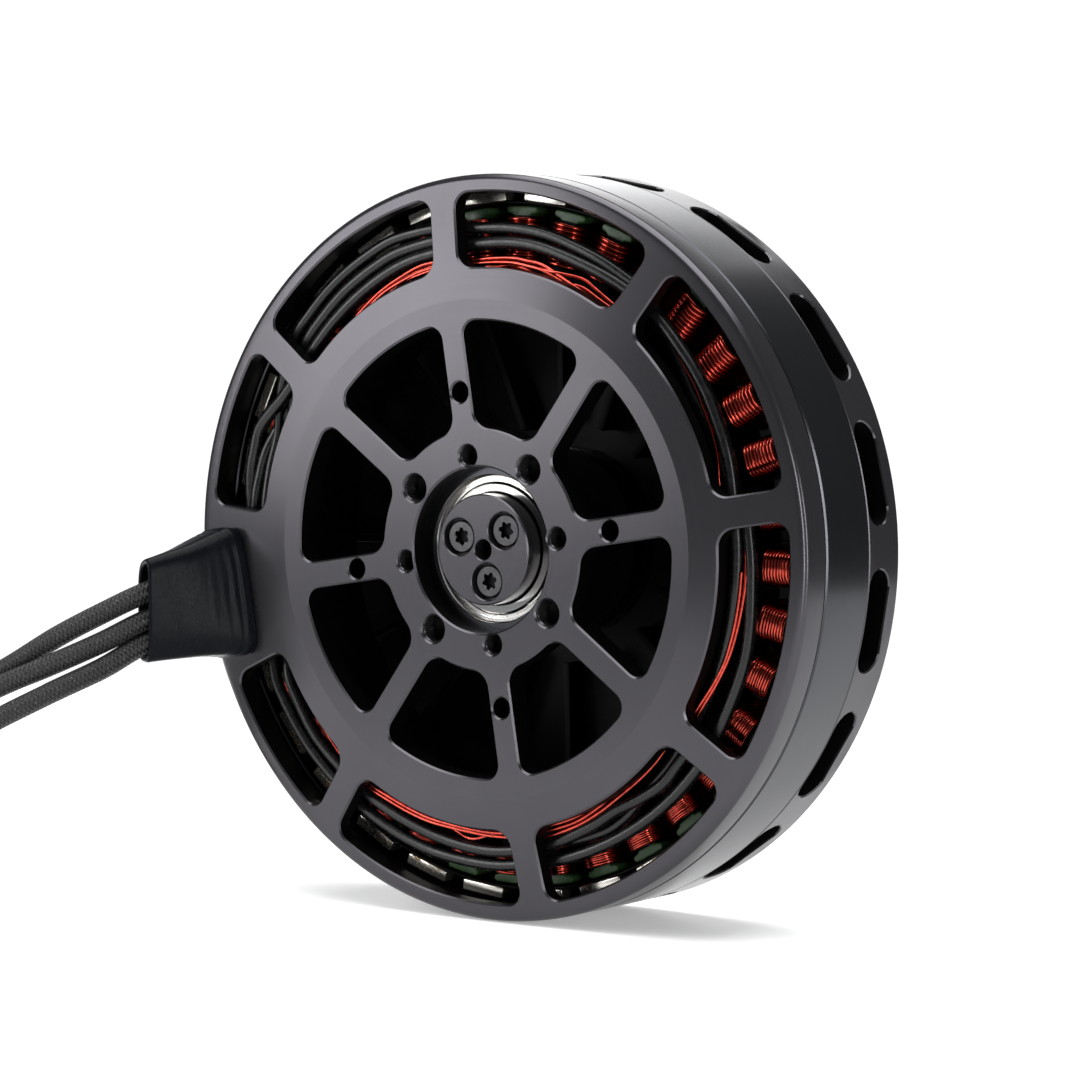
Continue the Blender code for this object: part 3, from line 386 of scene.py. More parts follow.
def braided(strands=16, pitch=0.0052):
    """A braided sleeve: two sets of strands cross over and under, one repeat per pitch along the lead."""
    n = Nodes("braided_sleeve")
    uv = n.node("ShaderNodeUVMap", {"uv_map": "UVMap"}).outputs[0]
    split = n.node("ShaderNodeSeparateXYZ", Vector=uv)
    around = n.times(split.outputs[0], strands / 2)
    along = n.math("DIVIDE", split.outputs[1], pitch / (strands / 2) / 0.62)
    over = n.math("GREATER_THAN", n.math("FRACT", n.math("ADD", along, 0.25)), 0.5)
    strand_sets = []
    for way, seen in (("ADD", over), ("SUBTRACT", n.math("SUBTRACT", 1.0, over))):
        across = n.math("FRACT", n.math(way, around, along))
        strand_sets.append(n.times(n.math("SINE", n.times(across, math.pi)), seen))
    height = n.math("ADD", *strand_sets)
    threads = n.node("ShaderNodeTexNoise", Vector=uv, Scale=3600.0, Detail=2.0).outputs["Fac"]
    fleck = n.ramp(n.noise(n.place(), 1900.0, 2.0), 0.0, 1.0, (0.60, 0.70))
    # The colour is darker where the strands dip, a painted shade between them; pale flecks show mostly on
    # the strands' tops.
    base = n.ramp(height, (0.002, 0.002, 0.0022), (0.013, 0.0132, 0.0148), (0.15, 0.85))
    colour = n.mix(n.times(fleck, n.times(height, 0.5)), base, (0.16, 0.16, 0.165))
    normal = n.bump(threads, 0.00004, 0.5, n.bump(height, 0.00028, 0.9))
    return n.finish(colour, n.ramp(height, 0.60, 0.40, (0.2, 0.9)), normal, Specular_IOR_Level=0.35)


def floor_material():
    """Matt white paper."""
    n = Nodes("studio_paper")
    grain = n.noise(n.place(), 180.0, 4.0)
    glow = {"Emission_Color": (1.0, 1.0, 1.0, 1.0), "Emission_Strength": FLOOR_GLOW}
    return n.finish(n.ramp(grain, 0.84, 0.86), 0.6, None, Specular_IOR_Level=0.2, **glow)


# ---- geometry helpers


def polar(radius, angle, y=0.0):
    return Vector((radius * math.cos(angle), y, radius * math.sin(angle)))


def on_circle(radius, angle):
    return (radius * math.cos(angle), radius * math.sin(angle))


def circle(radius, steps, centre=(0.0, 0.0)):
    turns = [math.tau * i / steps for i in range(steps)]
    return [(centre[0] + radius * math.cos(t), centre[1] + radius * math.sin(t)) for t in turns]


def cone_y(radius):
    return max(0.0, radius - FLAT_RADIUS) * math.tan(CONE_ANGLE)


def offset(outline, distance):
    """The outline moved outwards by distance (inwards if negative), whichever way it runs."""
    area = sum(a[0] * b[1] - b[0] * a[1] for a, b in zip(outline, outline[1:] + outline[:1]))
    side = distance if area > 0 else -distance
    found = []
    for before, here, after in zip(outline[-1:] + outline[:-1], outline, outline[1:] + outline[:1]):
        first = (Vector(here) - Vector(before)).normalized()
        second = (Vector(after) - Vector(here)).normalized()
        normal = Vector((first.y + second.y, -first.x - second.x)).normalized()
        lean = max(0.35, normal.dot(Vector((first.y, -first.x))))
        found.append(tuple(Vector(here) + normal * (side / lean)))
    return found


class Shell:
    """Vertices and faces that are joined into one mesh."""

    def __init__(self):
        self.bm = bmesh.new()
        self.uv = {}

    def ring(self, points):
        return [self.bm.verts.new(point) for point in points]

    def face(self, corners):
        """Adds a face, without the corners that come twice."""
        corners = list(dict.fromkeys(corners))
        if len(corners) > 2:
            self.bm.faces.new(corners)

    def strip(self, first, second):
        for i in range(len(first)):
            self.face((first[i - 1], first[i], second[i], second[i - 1]))

    def strips(self, *rings):
        for first, second in zip(rings, rings[1:]):
            self.strip(first, second)

    def fan(self, ring, point):
        tip = self.bm.verts.new(point)
        for a, b in zip(ring, ring[1:] + ring[:1]):
            self.face((a, b, tip))

    def turned(self, profile, steps=TURN_STEPS, closed=True):
        """Turns (radius, y) points round the motor's axis; a closed profile is a ring's section."""
        rings = []
        for radius, y in profile:
            if radius < 1e-7:
                rings.append([self.bm.verts.new((0.0, y, 0.0))] * steps)
            else:
                rings.append(self.ring([polar(radius, math.tau * i / steps, y) for i in range(steps)]))
        self.strips(*rings, *rings[: int(closed)])

    def sheet(self, outer, holes, place, extra=(), loops=()):
        """Fills the space between outlines with triangles. Returns the vertices of each outline."""
        outlines = [outer, *holes]
        points, edges = [], []
        for outline in [*outlines, *loops]:
            start = len(points)
            points += [Vector(point) for point in outline]
            edges += [(start + i, start + (i + 1) % len(outline)) for i in range(len(outline))]
        points += [Vector(point) for point in extra]
        verts, _, faces, originals, _, _ = delaunay_2d_cdt(points, edges, [], 1, 1e-8)
        made = [self.bm.verts.new(place(point.x, point.y)) for point in verts]
        for corners in faces:
            middle = sum((verts[i] for i in corners), Vector((0.0, 0.0))) / len(corners)
            if inside(middle, outer) and not any(inside(middle, hole) for hole in holes):
                self.bm.faces.new([made[i] for i in corners])
        by_source = {source: made[i] for i, sources in enumerate(originals) for source in sources}
        found, start = [], 0
        for outline in outlines:
            found.append([by_source[start + i] for i in range(len(outline))])
            start += len(outline)
        return found

    def tube(self, route, radius, sides, uv=False):
        """A round tube along the route, with closed ends."""
        rings = []
        normal = None
        along = 0.0
        turns = [math.tau * k / sides for k in range(sides)]
        for i, point in enumerate(route):
            way = (route[min(i + 1, len(route) - 1)] - route[max(i - 1, 0)]).normalized()
            if normal is None:
                normal = way.orthogonal().normalized()
            normal = (normal - way * normal.dot(way)).normalized()
            side = way.cross(normal)
            spokes = [normal * math.cos(t) + side * math.sin(t) for t in turns]
            rings.append(self.ring([point + spoke * radius for spoke in spokes]))
            if uv:
                along += (point - route[max(i - 1, 0)]).length
                for k, vert in enumerate(rings[-1]):
                    self.uv[vert] = (k / sides, along)
        self.strips(*rings)
        for end in (rings[0], rings[-1]):
            self.bm.faces.new(end)

    def add(self, other, matrix):
        """Copies another shell's faces in, moved by matrix."""
        copies = {vert: self.bm.verts.new(matrix @ vert.co) for vert in other.bm.verts}
        for face in other.bm.faces:
            self.bm.faces.new([copies[vert] for vert in face.verts])


def inside(point, outline):
    found = False
    for (x0, y0), (x1, y1) in zip(outline, outline[1:] + outline[:1]):
        if (y0 > point[1]) != (y1 > point[1]):
            if point[0] < (x1 - x0) * (point[1] - y0) / (y1 - y0) + x0:
                found = not found
    return found


def write_uv(bm, uv):
    """Writes each vertex's (turn, distance along), with the seam's faces past 1 instead of back to 0."""
    layer = bm.loops.layers.uv.new("UVMap")
    for face in bm.faces:
        around = [uv[loop.vert][0] if loop.vert in uv else 0.0 for loop in face.loops]
        wraps = max(around) - min(around) > 0.5 and len(face.verts) == 4
        for loop, u in zip(face.loops, around):
            along = uv[loop.vert][1] if loop.vert in uv else 0.0
            loop[layer].uv = (u + 1.0 if wraps and u < 0.5 else u, along)


def piece(name, shell, material, body, nodes=(), slot=None, sharp=32.0, crease=None, shade_lining=None):
    """Turns a shell into a piece that rides on a body and stands for CAD nodes.

    crease marks more edges as sharp; lining, a second material and a test for its faces, is a near-black
    that paints shade on those faces.
    """
    bm = shell.bm
    if shell.uv:
        write_uv(bm, shell.uv)
    bmesh.ops.recalc_face_normals(bm, faces=bm.faces)
    for edge in bm.edges:
        edge.smooth = len(edge.link_faces) < 2 or edge.calc_face_angle(0.0) < math.radians(sharp)
        if crease and all(crease(vert.co) for vert in edge.verts):
            edge.smooth = False
    for face in bm.faces:
        face.smooth = True
        face.material_index = int(bool(shade_lining and shade_lining[1](face)))
    mesh = bpy.data.meshes.new(name)
    bm.to_mesh(mesh)
    bm.free()
    mesh.materials.append(material)
    if shade_lining:
        mesh.materials.append(shade_lining[0])
    made = bpy.data.objects.new(name, mesh)
    bpy.context.scene.collection.objects.link(made)
    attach(made, body)
    if nodes:
        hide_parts(*nodes)
    return made


def window_outline(radii, low, high, corner, steps=7):
    """A window with rounded corners. Each side gives its angle at a radius."""
    inner, outer = radii
    corners = {radius: [Vector(on_circle(radius, side(radius))) for side in (low, high)] for radius in radii}
    points = []
    for radius, other, order in ((outer, inner, (0, 1)), (inner, outer, (1, 0))):
        cut = corner / radius
        span = (low(radius) + cut, high(radius) - cut)
        first, last = (corners[radius][i] for i in order)
        first_side, last_side = ((corners[other][i] - corners[radius][i]).normalized() for i in order)
        turn, until = (span[i] for i in order)
        points += bend(first + first_side * corner, first, Vector(on_circle(radius, turn)), steps)
        arc = max(2, round(abs(span[1] - span[0]) / math.radians(1.5)))
        points += [Vector(on_circle(radius, turn + (until - turn) * i / arc)) for i in range(1, arc)]
        points += bend(Vector(on_circle(radius, until)), last, last + last_side * corner, steps)
    return [tuple(point) for point in points]


def bend(before, corner, after, steps, weight=0.55):
    """The points of a rounded corner, close to a round arc."""
    near, far = before.lerp(corner, weight), after.lerp(corner, weight)
    found = []
    for i in range(steps + 1):
        t = i / steps
        s = 1 - t
        found.append(before * s**3 + near * (3 * t * s * s) + far * (3 * t * t * s) + after * t**3)
    return found


def turned_piece(name, profile, material, body, nodes, slot, steps=TURN_STEPS, sharp=32.0):
    shell = Shell()
    shell.turned(profile, steps)
    piece(name, shell, material, body, nodes, slot, sharp)


def smooth_route(points, spacing):
    """Points about spacing apart on a smooth curve through the route's own points."""
    whole = [points[0] * 2 - points[1], *points, points[-1] * 2 - points[-2]]
    fine = []
    for a, b, c, d in zip(whole, whole[1:], whole[2:], whole[3:]):
        for i in range(24):
            t = i / 24
            fine.append(
                0.5 * (2 * b + (c - a) * t + (2 * a - 5 * b + 4 * c - d) * t**2)
                + 0.5 * (3 * b - a - 3 * c + d) * t**3
            )
    fine.append(points[-1])
    along = [0.0]
    for a, b in zip(fine, fine[1:]):
        along.append(along[-1] + (b - a).length)
    count = max(2, round(along[-1] / spacing))
    found, at = [], 0
    for i in range(count + 1):
        wanted = along[-1] * i / count
        while at < len(along) - 2 and along[at + 1] < wanted:
            at += 1
        share = (wanted - along[at]) / (along[at + 1] - along[at])
        found.append(fine[at].lerp(fine[at + 1], min(1.0, share)))
    return found


# ---- camera, floor and lights


def make_camera():
    data = bpy.data.cameras.new("camera")
    data.lens = CAMERA_LENS
    data.sensor_width = 36.0
    data.clip_start, data.clip_end = 0.05, 20.0
    camera = bpy.data.objects.new("camera", data)
    bpy.context.scene.collection.objects.link(camera)
    level = math.cos(CAMERA_ELEVATION)
    east, south = math.sin(CAMERA_AZIMUTH), math.cos(CAMERA_AZIMUTH)
    back = Vector((east * level, -south * level, math.sin(CAMERA_ELEVATION)))
    right = Vector((south, east, 0.0))
    up = back.cross(right)
    rotation = Matrix((right, up, back)).transposed().to_4x4()
    camera.matrix_world = Matrix.Translation(CAMERA_PLACE) @ rotation
    bpy.context.scene.camera = camera


def add_light(name, place, direction, size, radiance):
    """A softbox of this size and brightness."""
    data = bpy.data.lights.new(name, "AREA")
    data.shape = "RECTANGLE"
    data.size, data.size_y = size
    data.energy = radiance * math.pi * size[0] * size[1]
    light = bpy.data.objects.new(name, data)
    bpy.context.scene.collection.objects.link(light)
    light.location = place
    light.rotation_euler = Vector(direction).to_track_quat("-Z", "Y").to_euler()
    light.visible_camera = False


def make_stage():
    """A pale floor and a pale backdrop, lit by softboxes in a dim room."""
    bm = bmesh.new()
    bmesh.ops.create_circle(bm, cap_ends=True, segments=SMALL_STEPS, radius=FLOOR_DISC)
    mesh = bpy.data.meshes.new("floor")
    bm.to_mesh(mesh)
    bm.free()
    mesh.materials.append(floor_material())
    floor = bpy.data.objects.new("floor", mesh)
    floor.location = (0.0, 0.0, FLOOR - 0.0002)
    bpy.context.scene.collection.objects.link(floor)

    world = bpy.data.worlds.new("studio")
    world.use_nodes = True
    tree = world.node_tree
    room = tree.nodes["Background"]
    room.inputs["Color"].default_value = (0.92, 0.95, 1.0, 1.0)
    room.inputs["Strength"].default_value = ROOM_LIGHT
    backdrop = tree.nodes.new("ShaderNodeBackground")
    backdrop.inputs["Color"].default_value = (1.0, 1.0, 1.0, 1.0)
    backdrop.inputs["Strength"].default_value = BACKDROP_LIGHT
    mixed = tree.nodes.new("ShaderNodeMixShader")
    sight = tree.nodes.new("ShaderNodeLightPath")
    tree.links.new(sight.outputs["Is Camera Ray"], mixed.inputs[0])
    tree.links.new(room.outputs[0], mixed.inputs[1])
    tree.links.new(backdrop.outputs[0], mixed.inputs[2])
    tree.links.new(mixed.outputs[0], tree.nodes["World Output"].inputs["Surface"])
    scene = bpy.context.scene
    scene.world = world
    scene.view_settings.view_transform = "Standard"
    add_light("key_softbox", (-0.52, -0.50, 0.24), (0.0, 1.0, 0.0), (0.46, 0.52), 6.0)
    add_light("strip_softbox", (1.00, -0.62, 0.10), (-0.85, 0.52, -0.08), (0.16, 0.70), 12.0)
    add_light("side_softbox", (1.00, 0.14, 0.06), (-1.0, -0.1, 0.0), (0.16, 0.40), 9.0)
    add_light("back_softbox", (-0.46, 0.90, 0.33), (0.0, -1.0, 0.0), (0.86, 0.58), 2.1)
    add_light("top_softbox", (0.0, 0.0, 1.0), (0.0, 0.0, -1.0), (1.2, 1.2), 5.0)


# ---- leads and boot


def metres(point):
    return Vector([value * MM for value in point])


# Each lead's route: part of a turn of this radius and height above the floor round the loop's centre, on to
# the last angle in degrees, after a way out of the boot and down to the floor. Lengths are millimetres.
LEAD_ROUTES = {
    "a": (27.8, 7.8, 18, [
        (-72.0, 1.0, -6.5), (-77.5, -6.0, -8.8), (-84.6, -14.6, -12.5), (-91.6, -21.0, -16.9),
        (-100.4, -27.4, -22.6), (-111.2, -32.6, -30.0), (-125.2, -38.6, -38.2), (-141.2, -45.8, -47.5),
        (-158.0, -52.0, -58.5), (-174.0, -51.5, -68.5), (-185.0, -45.0, -74.0),
    ]),
    "b": (25.0, 2.6, -28, [
        (-72.0, 1.0, -12.5), (-77.3, -6.4, -15.0), (-84.3, -15.2, -18.9), (-91.0, -22.6, -23.7),
        (-99.5, -30.4, -28.7), (-110.0, -37.6, -34.1), (-124.0, -43.6, -42.2), (-139.5, -48.2, -53.0),
        (-156.0, -51.2, -66.0), (-171.0, -48.5, -76.5), (-181.5, -43.0, -80.3),
    ]),
    "c": (30.5, 2.6, 2, [
        (-71.6, 1.0, -18.5), (-77.0, -6.8, -20.8), (-84.1, -15.6, -24.2), (-90.2, -23.5, -29.6),
        (-98.2, -32.0, -34.9), (-108.5, -40.2, -41.4), (-122.5, -47.5, -50.0), (-139.0, -53.8, -60.5),
        (-157.5, -59.0, -71.5), (-174.5, -57.5, -78.5), (-186.8, -49.0, -80.4),
    ]),
}


def make_leads():
    sleeve = braided()
    metal = gold()
    shrink = sleeve_rubber()
    for label, (radius, height, last, descent) in LEAD_ROUTES.items():
        points = [metres(point) for point in descent]
        for i in range(LOOP_STEPS + 1):
            turn = math.radians(LOOP_START + (last - LOOP_START) * i / LOOP_STEPS)
            points.append(LOOP_CENTRE + Vector((*on_circle(radius * MM, turn), FLOOR + height * MM)))
        route = smooth_route(points, 0.0022)
        shell = Shell()
        shell.tube(route, LEAD_DIAMETER / 2, LEAD_SIDES, uv=True)
        lead = piece(f"sleeved_lead_{label}", shell, sleeve, "stator_side", [f"lead_{label}"], "black_braid")
        way = (route[-1] - route[-3]).normalized()
        way.z = 0.0
        connector = make_connector(label, route[-1], way.normalized(), metal, shrink)
        tuple(route[0])
        [tuple(point) for point in route]


# The outlines of a connector's two pieces: (radius, distance from the lead's end), in millimetres.
PIN_PROFILE = [
    (0.0, 7.8), (2.05, 7.8), (2.05, 9.4), (1.55, 9.6), (1.5, 10.1), (1.78, 11.2), (1.89, 12.5), (1.78, 13.9),
    (1.5, 15.0), (1.3, 15.4), (1.18, 15.9), (0.0, 16.0),
]
SHRINK_PROFILE = [
    (0.0, 0.1), (2.15, 0.1), (2.32, 0.5), (2.34, 3.0), (2.22, 5.2), (2.3, 8.0), (2.26, 8.4), (0.0, 8.4),
]


def make_connector(label, end, way, metal, shrink):
    """A gold bullet with a sprung waist, held by a shrunk sleeve."""
    turn = Vector((0.0, 1.0, 0.0)).rotation_difference(way).to_matrix().to_4x4()
    place = Matrix.Translation(end + way * 0.0003) @ turn
    made = []
    for name, profile, material, nodes, slot in (
        ("bullet_pin", PIN_PROFILE, metal, [f"connector_{label}"], "gold_plate"),
        ("connector_shrink", SHRINK_PROFILE, shrink, (), "black_rubber"),
    ):
        part, placed = Shell(), Shell()
        part.turned([(radius * MM, along * MM) for radius, along in profile], CONNECTOR_STEPS, closed=False)
        placed.add(part, place)
        made.append(piece(f"{name}_{label}", placed, material, "stator_side", nodes, slot))
    return made


# ---- base


def rib_side(rib, sign):
    """The side of an outer rib that faces up (1) or down (-1) in angle."""
    angle = RIB_START + RIB_STEP * rib
    if rib == EXIT_RIB:
        return lambda _: angle + sign * EXIT_HALF
    return lambda radius: angle + sign * math.asin(RIB_WIDTH / 2 / radius)


def spoke_side(rib, sign):
    angle = RIB_START + RIB_STEP * rib
    return lambda radius: angle + sign * math.asin(SPOKE_WIDTH / 2 / radius)


def base_windows():
    found = []
    for k in range(RIB_COUNT):
        found.append(window_outline(INNER_WINDOW, spoke_side(k, 1), spoke_side(k + 1, -1), WINDOW_CORNER))
        found.append(window_outline(OUTER_WINDOW, rib_side(k, 1), rib_side(k + 1, -1), WINDOW_CORNER))
    exit_angle = RIB_START + RIB_STEP * EXIT_RIB
    sides = [lambda _, s=s: exit_angle + s * EXIT_SLOT_HALF for s in (-1, 1)]
    found.append(window_outline(EXIT_SLOT, *sides, 0.0030))
    return found


def drilled(
    shell, outer, through, blind, places, edge, extra=(), loops=(), back_outer=None, back_loops=()
):
    """A plate with chamfered holes. places gives a point on the face, at a chamfer's foot and on the back.

    blind is a list of (outline, function that closes the hole). Returns the outlines of face and back.
    """
    face, foot, back = places
    mouths = [*through, *[outline for outline, _ in blind]]
    first = shell.sheet(outer, [offset(outline, edge) for outline in mouths], face, extra, loops)
    second = shell.sheet(back_outer or outer, through, back, (), back_loops)
    rims = [shell.ring([foot(u, v) for u, v in outline]) for outline in mouths]
    for mouth, rim in zip(first[1:], rims):
        shell.strip(mouth, rim)
    for rim, end in zip(rims, second[1:]):
        shell.strip(rim, end)
    for rim, (_, close) in zip(rims[len(through) :], blind):
        close(shell, rim)
    return first[0], second[0]


def threaded(centre, radius, start, floor):
    """Closes a tapped hole: a helical thread and a drill point."""
    way = 1.0 if floor > start else -1.0

    def close(shell, rim):
        rings = [rim]
        count = round(abs(floor - start) / (THREAD_PITCH / 5))
        for k in range(1, count + 1):
            depth = abs(floor - start) * k / count
            points = []
            for i in range(HOLE_STEPS):
                phase = depth / THREAD_PITCH - i / HOLE_STEPS
                cut = THREAD_DEPTH * abs(2 * (phase - math.floor(phase)) - 1) * min(1.0, k / 4)
                u, v = on_circle(radius - cut, math.tau * i / HOLE_STEPS)
                points.append((centre[0] + u, start + way * depth, centre[1] + v))
            rings.append(shell.ring(points))
        shell.strips(*rings)
        shell.fan(rings[-1], (centre[0], floor + way * radius * 0.5, centre[1]))

    return close


def flat_floor(outline, y):
    """Closes a pocket with a flat floor."""

    def close(shell, rim):
        foot = shell.ring([(u, y, v) for u, v in outline])
        shell.strip(rim, foot)
        middle = sum((Vector(point) for point in outline), Vector((0.0, 0.0))) / len(outline)
        shell.fan(foot, (middle.x, y, middle.y))

    return close


def clear_points(rings, steps, outlines, margin):
    """Points on rings that stay clear of the outlines."""
    wide = [offset(outline, margin) for outline in outlines]
    found = []
    for radius in rings:
        for point in circle(radius, steps):
            if not any(inside(point, outline) for outline in wide):
                found.append(point)
    return found


def make_base(metal, shade_lining):
    shell = Shell()
    windows = base_windows()
    through = [circle(HUB_BORE, TURN_STEPS), *windows]
    blind = []
    for k in range(RIB_COUNT):
        angle = RIB_START + RIB_STEP * k
        ring, hole = HUB_HOLES if k % 2 == 0 else THREAD_HOLES
        centre = on_circle(ring, angle)
        blind.append((circle(hole, HOLE_STEPS, centre), threaded(centre, hole, WINDOW_CHAMFER, HOLE_FLOOR)))
        if k % 2 == 0:
            ring, hole = SPOKE_HOLES
            through.append(circle(hole, HOLE_STEPS, on_circle(ring, angle)))

    def face(u, v):
        return Vector((u, cone_y(math.hypot(u, v)), v))

    def foot(u, v):
        return face(u, v) + Vector((0.0, WINDOW_CHAMFER, 0.0))

    def back(u, v):
        radius = math.hypot(u, v)
        thick = SPOKE_THICKNESS if radius < DRUM_OUTER + 0.00005 else cone_y(radius) + PLATE_THICKNESS
        return Vector((u, thick, v))

    edge = RIM_RADIUS - RIM_FILLET * (1 - math.sin(CONE_ANGLE))
    rim_inner = RIM_RADIUS - RIM_WALL
    rings = [0.0575, 0.0600, 0.0645, 0.0672, 0.0699, 0.0726, 0.0753, 0.0778, 0.0800]
    extra = clear_points(rings, TURN_STEPS // 2, windows, 0.0009)
    front_edge, back_edge = drilled(
        shell, circle(edge, TURN_STEPS), through, blind, (face, foot, back), WINDOW_CHAMFER,
        extra=extra, loops=[circle(FLAT_RADIUS, TURN_STEPS)], back_outer=circle(rim_inner, TURN_STEPS),
        back_loops=[circle(DRUM_OUTER, TURN_STEPS), circle(DRUM_OUTER + 0.0006, TURN_STEPS)],
    )
    centre = RIM_RADIUS - RIM_FILLET
    level = cone_y(edge) + RIM_FILLET * math.cos(CONE_ANGLE)
    section = []
    for i in range(1, 11):
        turn = CONE_ANGLE + (math.pi / 2 - CONE_ANGLE) * i / 10
        section.append((centre + RIM_FILLET * math.sin(turn), level - RIM_FILLET * math.cos(turn)))
    section += [
        (RIM_RADIUS, RIM_BACK - 0.00025), (RIM_RADIUS - 0.00025, RIM_BACK), (rim_inner + 0.0002, RIM_BACK),
        (rim_inner, RIM_BACK - 0.0002),
    ]
    around = [math.tau * i / TURN_STEPS for i in range(TURN_STEPS)]
    rim = [shell.ring([polar(radius, t, y) for t in around]) for radius, y in section]
    shell.strips(front_edge, *rim, back_edge)

    def on_crease(point):
        return abs(math.hypot(point.x, point.z) - FLAT_RADIUS) < 0.00001 and point.y < 0.0001

    # Painted shade: faces behind the face plate, past the windows' chamfers, get the near-black, all but the
    # walls of the holes round the hub.
    def hidden(face):
        middle = face.calc_center_median()
        radius = math.hypot(middle.x, middle.z)
        inner = middle.y > cone_y(radius) + 2 * WINDOW_CHAMFER and radius < RIM_RADIUS - 0.001
        return inner and not (radius < 0.0255 and abs(face.normal.y) < 0.5 and radius > HUB_BORE + 0.0005)

    piece(
        "base_face", shell, metal, "stator_side", ["base_plate"], "anodised_grey",
        sharp=24.0, crease=on_crease, shade_lining=(shade_lining, hidden),
    )

    seat = BEARING_FRONT + BEARING_WIDTH + 0.0001
    tube = [
        (0.0216, 0.0061), (0.0216, 0.0288), (0.0212, 0.0292), (0.0188, 0.0292), (HUB_BORE, 0.0289),
        (HUB_BORE, 0.0219), (0.0169, 0.0219), (0.0169, seat), (HUB_BORE, seat), (HUB_BORE, 0.0061),
    ]
    # The hub tube and the carrier drum are wholly in the near-black that paints shade.
    turned_piece("hub_tube", tube, shade_lining, "stator_side", ["bearing_tube"], "anodised_grey", SMALL_STEPS)
    drum = [
        (DRUM_OUTER, 0.0061), (DRUM_OUTER, 0.0273), (DRUM_OUTER - 0.0002, 0.0275),
        (DRUM_INNER + 0.0002, 0.0275), (DRUM_INNER, 0.0273), (DRUM_INNER, 0.0061),
    ]
    turned_piece("carrier_drum", drum, shade_lining, "stator_side", ["stator_drum"], "anodised_grey")


def slab(shell, outer, holes, low, high, edge, steps=1):
    """A flat piece along the axis with rounded or chamfered edges, from outlines."""
    ends = []
    for y, way in ((low, 1), (high, -1)):
        rings = []
        for k in range(steps + 1):
            turn = math.pi / 2 * k / steps
            inset, depth = edge * (1 - math.sin(turn)), edge * (1 - math.cos(turn))
            outlines = [offset(outer, -inset), *[offset(hole, inset) for hole in holes]]
            rings.append([[(u, y + way * depth, v) for u, v in outline] for outline in outlines])
        flat = [[(u, v) for u, _, v in points] for points in rings[0]]
        made = shell.sheet(flat[0], flat[1:], lambda u, v, y=y: Vector((u, y, v)))
        for outlines in rings[1:]:
            following = [shell.ring(points) for points in outlines]
            for first, second in zip(made, following):
                shell.strip(first, second)
            made = following
        ends.append(made)
    for first, second in zip(*ends):
        shell.strip(first, second)


def make_circlip(metal):
    """An open spring ring with an eye in each end."""
    opening, outer_radius, inner_radius, ear_rise = math.radians(9.0), 0.0189, 0.0165, 0.0014
    outer, inner = [], []
    for i in range(CLIP_STEPS + 1):
        angle = opening + (math.tau - 2 * opening) * i / CLIP_STEPS
        from_end = min(angle - opening, math.tau - opening - angle)
        rise = ear_rise / (1 + math.exp((from_end - math.radians(8.5)) * 60))
        outer.append(on_circle(outer_radius, angle))
        inner.append(on_circle(inner_radius - rise, angle))
    eye_angle = opening + math.radians(4.2)
    eyes = [circle(0.00055, 16, on_circle(0.0166, side * eye_angle)) for side in (1, -1)]
    shell = Shell()
    slab(shell, outer + inner[::-1], eyes, 0.0050, 0.0060, 0.00012)
    piece("spring_circlip", shell, metal, "stator_side", ["base_circlip"], "black_steel")


# ---- bearing, cap and screws


def make_bearing(metal, shield_metal):
    """The front bearing, from outlines of (radius, depth behind its front face) in millimetres."""
    inner = [
        (12.5, 0.3), (12.8, 0.0), (14.3, 0.0), (14.55, 0.25), (14.55, 6.7), (14.2, 7.0), (12.8, 7.0),
        (12.5, 6.7),
    ]
    outer = [
        (16.35, 0.2), (16.6, 0.0), (18.1, 0.0), (18.4, 0.3), (18.4, 6.7), (18.1, 7.0), (16.6, 7.0),
        (16.35, 6.8),
    ]
    shield = [
        (14.75, 0.5), (14.9, 0.4), (15.2, 0.4), (15.32, 0.52), (15.55, 0.52), (15.67, 0.4), (16.1, 0.4),
        (16.3, 0.6), (16.3, 0.8), (14.75, 0.8),
    ]
    for name, outline, steel, body in (
        ("inner_race", inner, metal, "rotor"),
        ("outer_race", outer, metal, "stator_side"),
        ("shield", shield, shield_metal, "stator_side"),
    ):
        profile = [(radius * MM, BEARING_FRONT + depth * MM) for radius, depth in outline]
        nodes = [f"front_bearing_{name}"]
        turned_piece(f"front_{name}", profile, steel, body, nodes, "bearing_steel", SMALL_STEPS)


def star(radius, steps=60):
    """A six-lobed recess."""
    found = []
    for i in range(steps):
        turn = math.tau * i / steps
        lobe = 0.5 + 0.5 * math.cos(6 * turn)
        found.append(on_circle(radius * (0.68 + 0.32 * lobe**0.8), turn))
    return found


def flat_place(y):
    """A function that puts a flat point at this depth."""
    return lambda u, v: Vector((u, y, v))


def cap_screw_angle(k):
    return CAP_SCREW_START + math.tau * k / CAP_SCREWS


def hub_screw_angle(k):
    return HUB_SCREW_START + math.tau * k / HUB_SCREWS


def make_cap(metal):
    low, high = CAP_SPAN
    pockets = []
    for k in range(CAP_SCREWS):
        outline = circle(COUNTERBORE, SCREW_STEPS, on_circle(CAP_SCREW_CIRCLE, cap_screw_angle(k)))
        pockets.append((outline, flat_floor(outline, low + CAP_POCKET)))
    places = [flat_place(y) for y in (low, low + 0.0002, high)]
    shell = Shell()
    front, back = drilled(
        shell, circle(CAP_RADIUS - CAP_EDGE, SMALL_STEPS), [circle(CAP_HOLE, HOLE_STEPS)], pockets, places,
        0.0002, back_outer=circle(CAP_RADIUS, SMALL_STEPS),
    )
    side = shell.ring([(u, low + CAP_EDGE, v) for u, v in circle(CAP_RADIUS, SMALL_STEPS)])
    shell.strips(front, side, back)
    piece("front_cap", shell, metal, "rotor", ["shaft_cap"], "anodised_grey")


